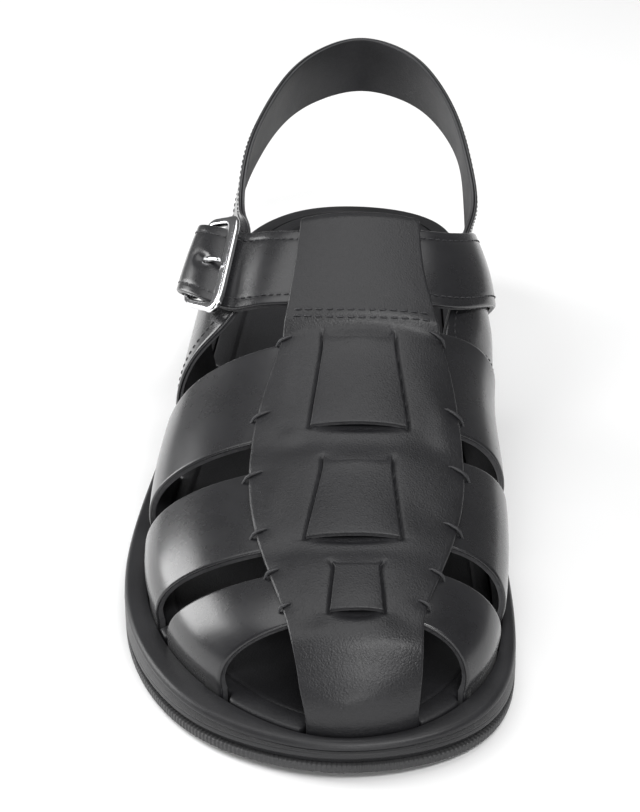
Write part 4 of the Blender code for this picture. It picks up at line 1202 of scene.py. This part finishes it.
def make_buckle():
    """The buckle's frame with a broad front bar ground to two facets, and the prong resting on it."""
    count = 240
    a = np.linspace(0, 2 * np.pi, count, endpoint=False)
    power = 0.30
    across = (np.sign(np.cos(a)) * np.abs(np.cos(a)) ** power + 1)[:, None] / 2
    along = (np.sign(np.sin(a)) * np.abs(np.sin(a)) ** power + 1)[:, None] / 2
    low, high = -BUCKLE_MARGIN, 1 + BUCKLE_MARGIN
    front = [belt_point(BUCKLE_FRONT, c, FRONT_BAR_HEIGHT) for c in (low, high)]
    back = [belt_point(BUCKLE_BACK, c, BACK_BAR_HEIGHT) for c in (low, high)]
    front_line = front[0] + (front[1] - front[0]) * across
    back_line = back[0] + (back[1] - back[0]) * across
    path = front_line + (back_line - front_line) * along
    face = np.cross(front[1] - front[0], back[0] - front[0])
    face *= np.sign(face[2]) / np.linalg.norm(face)
    broad = step((0.30 - along[:, 0]) / 0.25)
    bar = swept(path, face + 0 * path, BAR_HALF_WIDTH + FRONT_BAR_EXTRA * broad,
                BAR_HALF_HEIGHT + 0 * broad, looped=True)
    add_piece("buckle_frame_look", bar.reshape(-1, 3), tube_faces(count, 20, True), [METAL],
              ("buckle_frame",), "buckle_frame_finish")
    front_middle = (front[0] + front[1]) / 2
    back_middle = (back[0] + back[1]) / 2
    way = unit(front_middle - back_middle)
    start = back_middle + way * (BAR_RADIUS + GAP + PRONG_RADIUS)
    end = front_middle + face * (BAR_RADIUS + GAP + 0.75 * PRONG_RADIUS) - way * 0.2
    share = np.linspace(0, 1, 40)[:, None]
    path = start + (end - start) * share + face * PRONG_BOW * np.sin(np.pi * share)
    tip = np.sqrt(np.clip(1 - ((share[:, 0] - 0.9) / 0.1).clip(0, 1) ** 2, 0.02, 1))
    size = PRONG_RADIUS * (1 - 0.2 * share[:, 0]) * tip
    prong = swept(path, face + 0 * path, size, size, 16, square=0.85)
    add_piece("buckle_prong_look", prong.reshape(-1, 3), tube_faces(40, 16, False), [METAL],
              ("buckle_prong",), "buckle_prong_finish")


def make_stitching():
    """The double row that closes the loop, and the hand stitches over the strip's edges."""
    share = np.linspace(0.05, 0.95, 60)
    for number, station in enumerate((125.4, 123.4)):
        at = station + 2.4 * (2 * share - 1) ** 2
        path = strip_point(at, share, 0.05)
        normals = unit(strip_point(at, share, 1.0) - path)
        stitch_run("loop_stitches_%d" % number, path, normals, "upper", *LOOP_STITCH)
    for number, (station, side) in enumerate(EDGE_STITCHES):
        edge = 0.0 if side < 0 else 1.0
        reach = np.linspace(-0.055, 0.085, 12)
        shares = edge - side * reach
        at = station + np.linspace(-0.6, 0.8, 12)
        lift = np.where(reach < 0, -2.2 * step(-reach / 0.05), 0.15)
        path = strip_point(at, shares, lift)
        normals = unit(strip_point(at, shares, lift + 1.0) - path)
        whole = np.linalg.norm(np.diff(path, axis=0), axis=-1).sum()
        stitch_run("edge_stitch_%d" % number, path, normals, "upper", whole, 0.55, whole * 0.98)


def make_stage():
    """A plain pale floor, soft studio lights, and the camera at the photograph's angle to the shoe."""
    mesh = bpy.data.meshes.new("floor")
    corners = [(-FLOOR, -FLOOR, 0), (FLOOR, -FLOOR, 0), (FLOOR, FLOOR, 0), (-FLOOR, FLOOR, 0)]
    mesh.from_pydata(corners, [], [(0, 1, 2, 3)])
    finish = Finish("floor_finish", 0.8)
    mottle = finish.noise(3.0, 2.0)
    finish.feed("Base Color", finish.colours(mottle, (0.90, 0.90, 0.90), (0.93, 0.93, 0.93)))
    mesh.materials.append(finish.material)
    floor = bpy.data.objects.new("floor", mesh)
    bpy.context.scene.collection.objects.link(floor)
    world = bpy.data.worlds.new("studio")
    bpy.context.scene.world = world
    world.use_nodes = True
    world.node_tree.nodes["Background"].inputs[0].default_value = (1.0, 1.0, 1.0, 1.0)
    world.node_tree.nodes["Background"].inputs[1].default_value = WORLD_LIGHT

    def light(name, spot, aim, width, height, power):
        """A soft box at a spot, turned to its aim."""
        lamp = bpy.data.lights.new(name, "AREA")
        lamp.shape = "RECTANGLE"
        lamp.size = width
        lamp.size_y = height
        lamp.energy = power
        thing = bpy.data.objects.new(name, lamp)
        bpy.context.scene.collection.objects.link(thing)
        thing.location = spot
        way = unit(np.array(aim, float) - np.array(spot, float))
        thing.rotation_mode = "XYZ"
        pitch = np.arccos(-way[2])
        thing.rotation_euler = (pitch, 0.0, np.arctan2(way[0], -way[1]) + np.pi)
    for row in LIGHTS:
        light(*row)
    lens = bpy.data.cameras.new("camera")
    camera = bpy.data.objects.new("camera", lens)
    bpy.context.scene.collection.objects.link(camera)
    camera.location = (-CENTRE_X * MM, (-CAMERA_AHEAD - LENGTH / 2) * MM, CAMERA_HEIGHT * MM)
    camera.rotation_euler = (np.radians(90.0 - CAMERA_PITCH), 0.0, 0.0)
    lens.lens = LENS_PIXELS * ENLARGE * SENSOR / FRAME_HEIGHT
    lens.shift_x = -0.0329
    lens.shift_y = 0.0053
    lens.clip_start = 0.01
    bpy.context.scene.camera = camera
    bpy.context.scene.view_settings.view_transform = "Standard"


def main():
    make_soles()
    make_footbed()
    make_front()
    make_back_strap()
    make_belt()
    make_buckle()
    make_stitching()
    make_stage()


main()
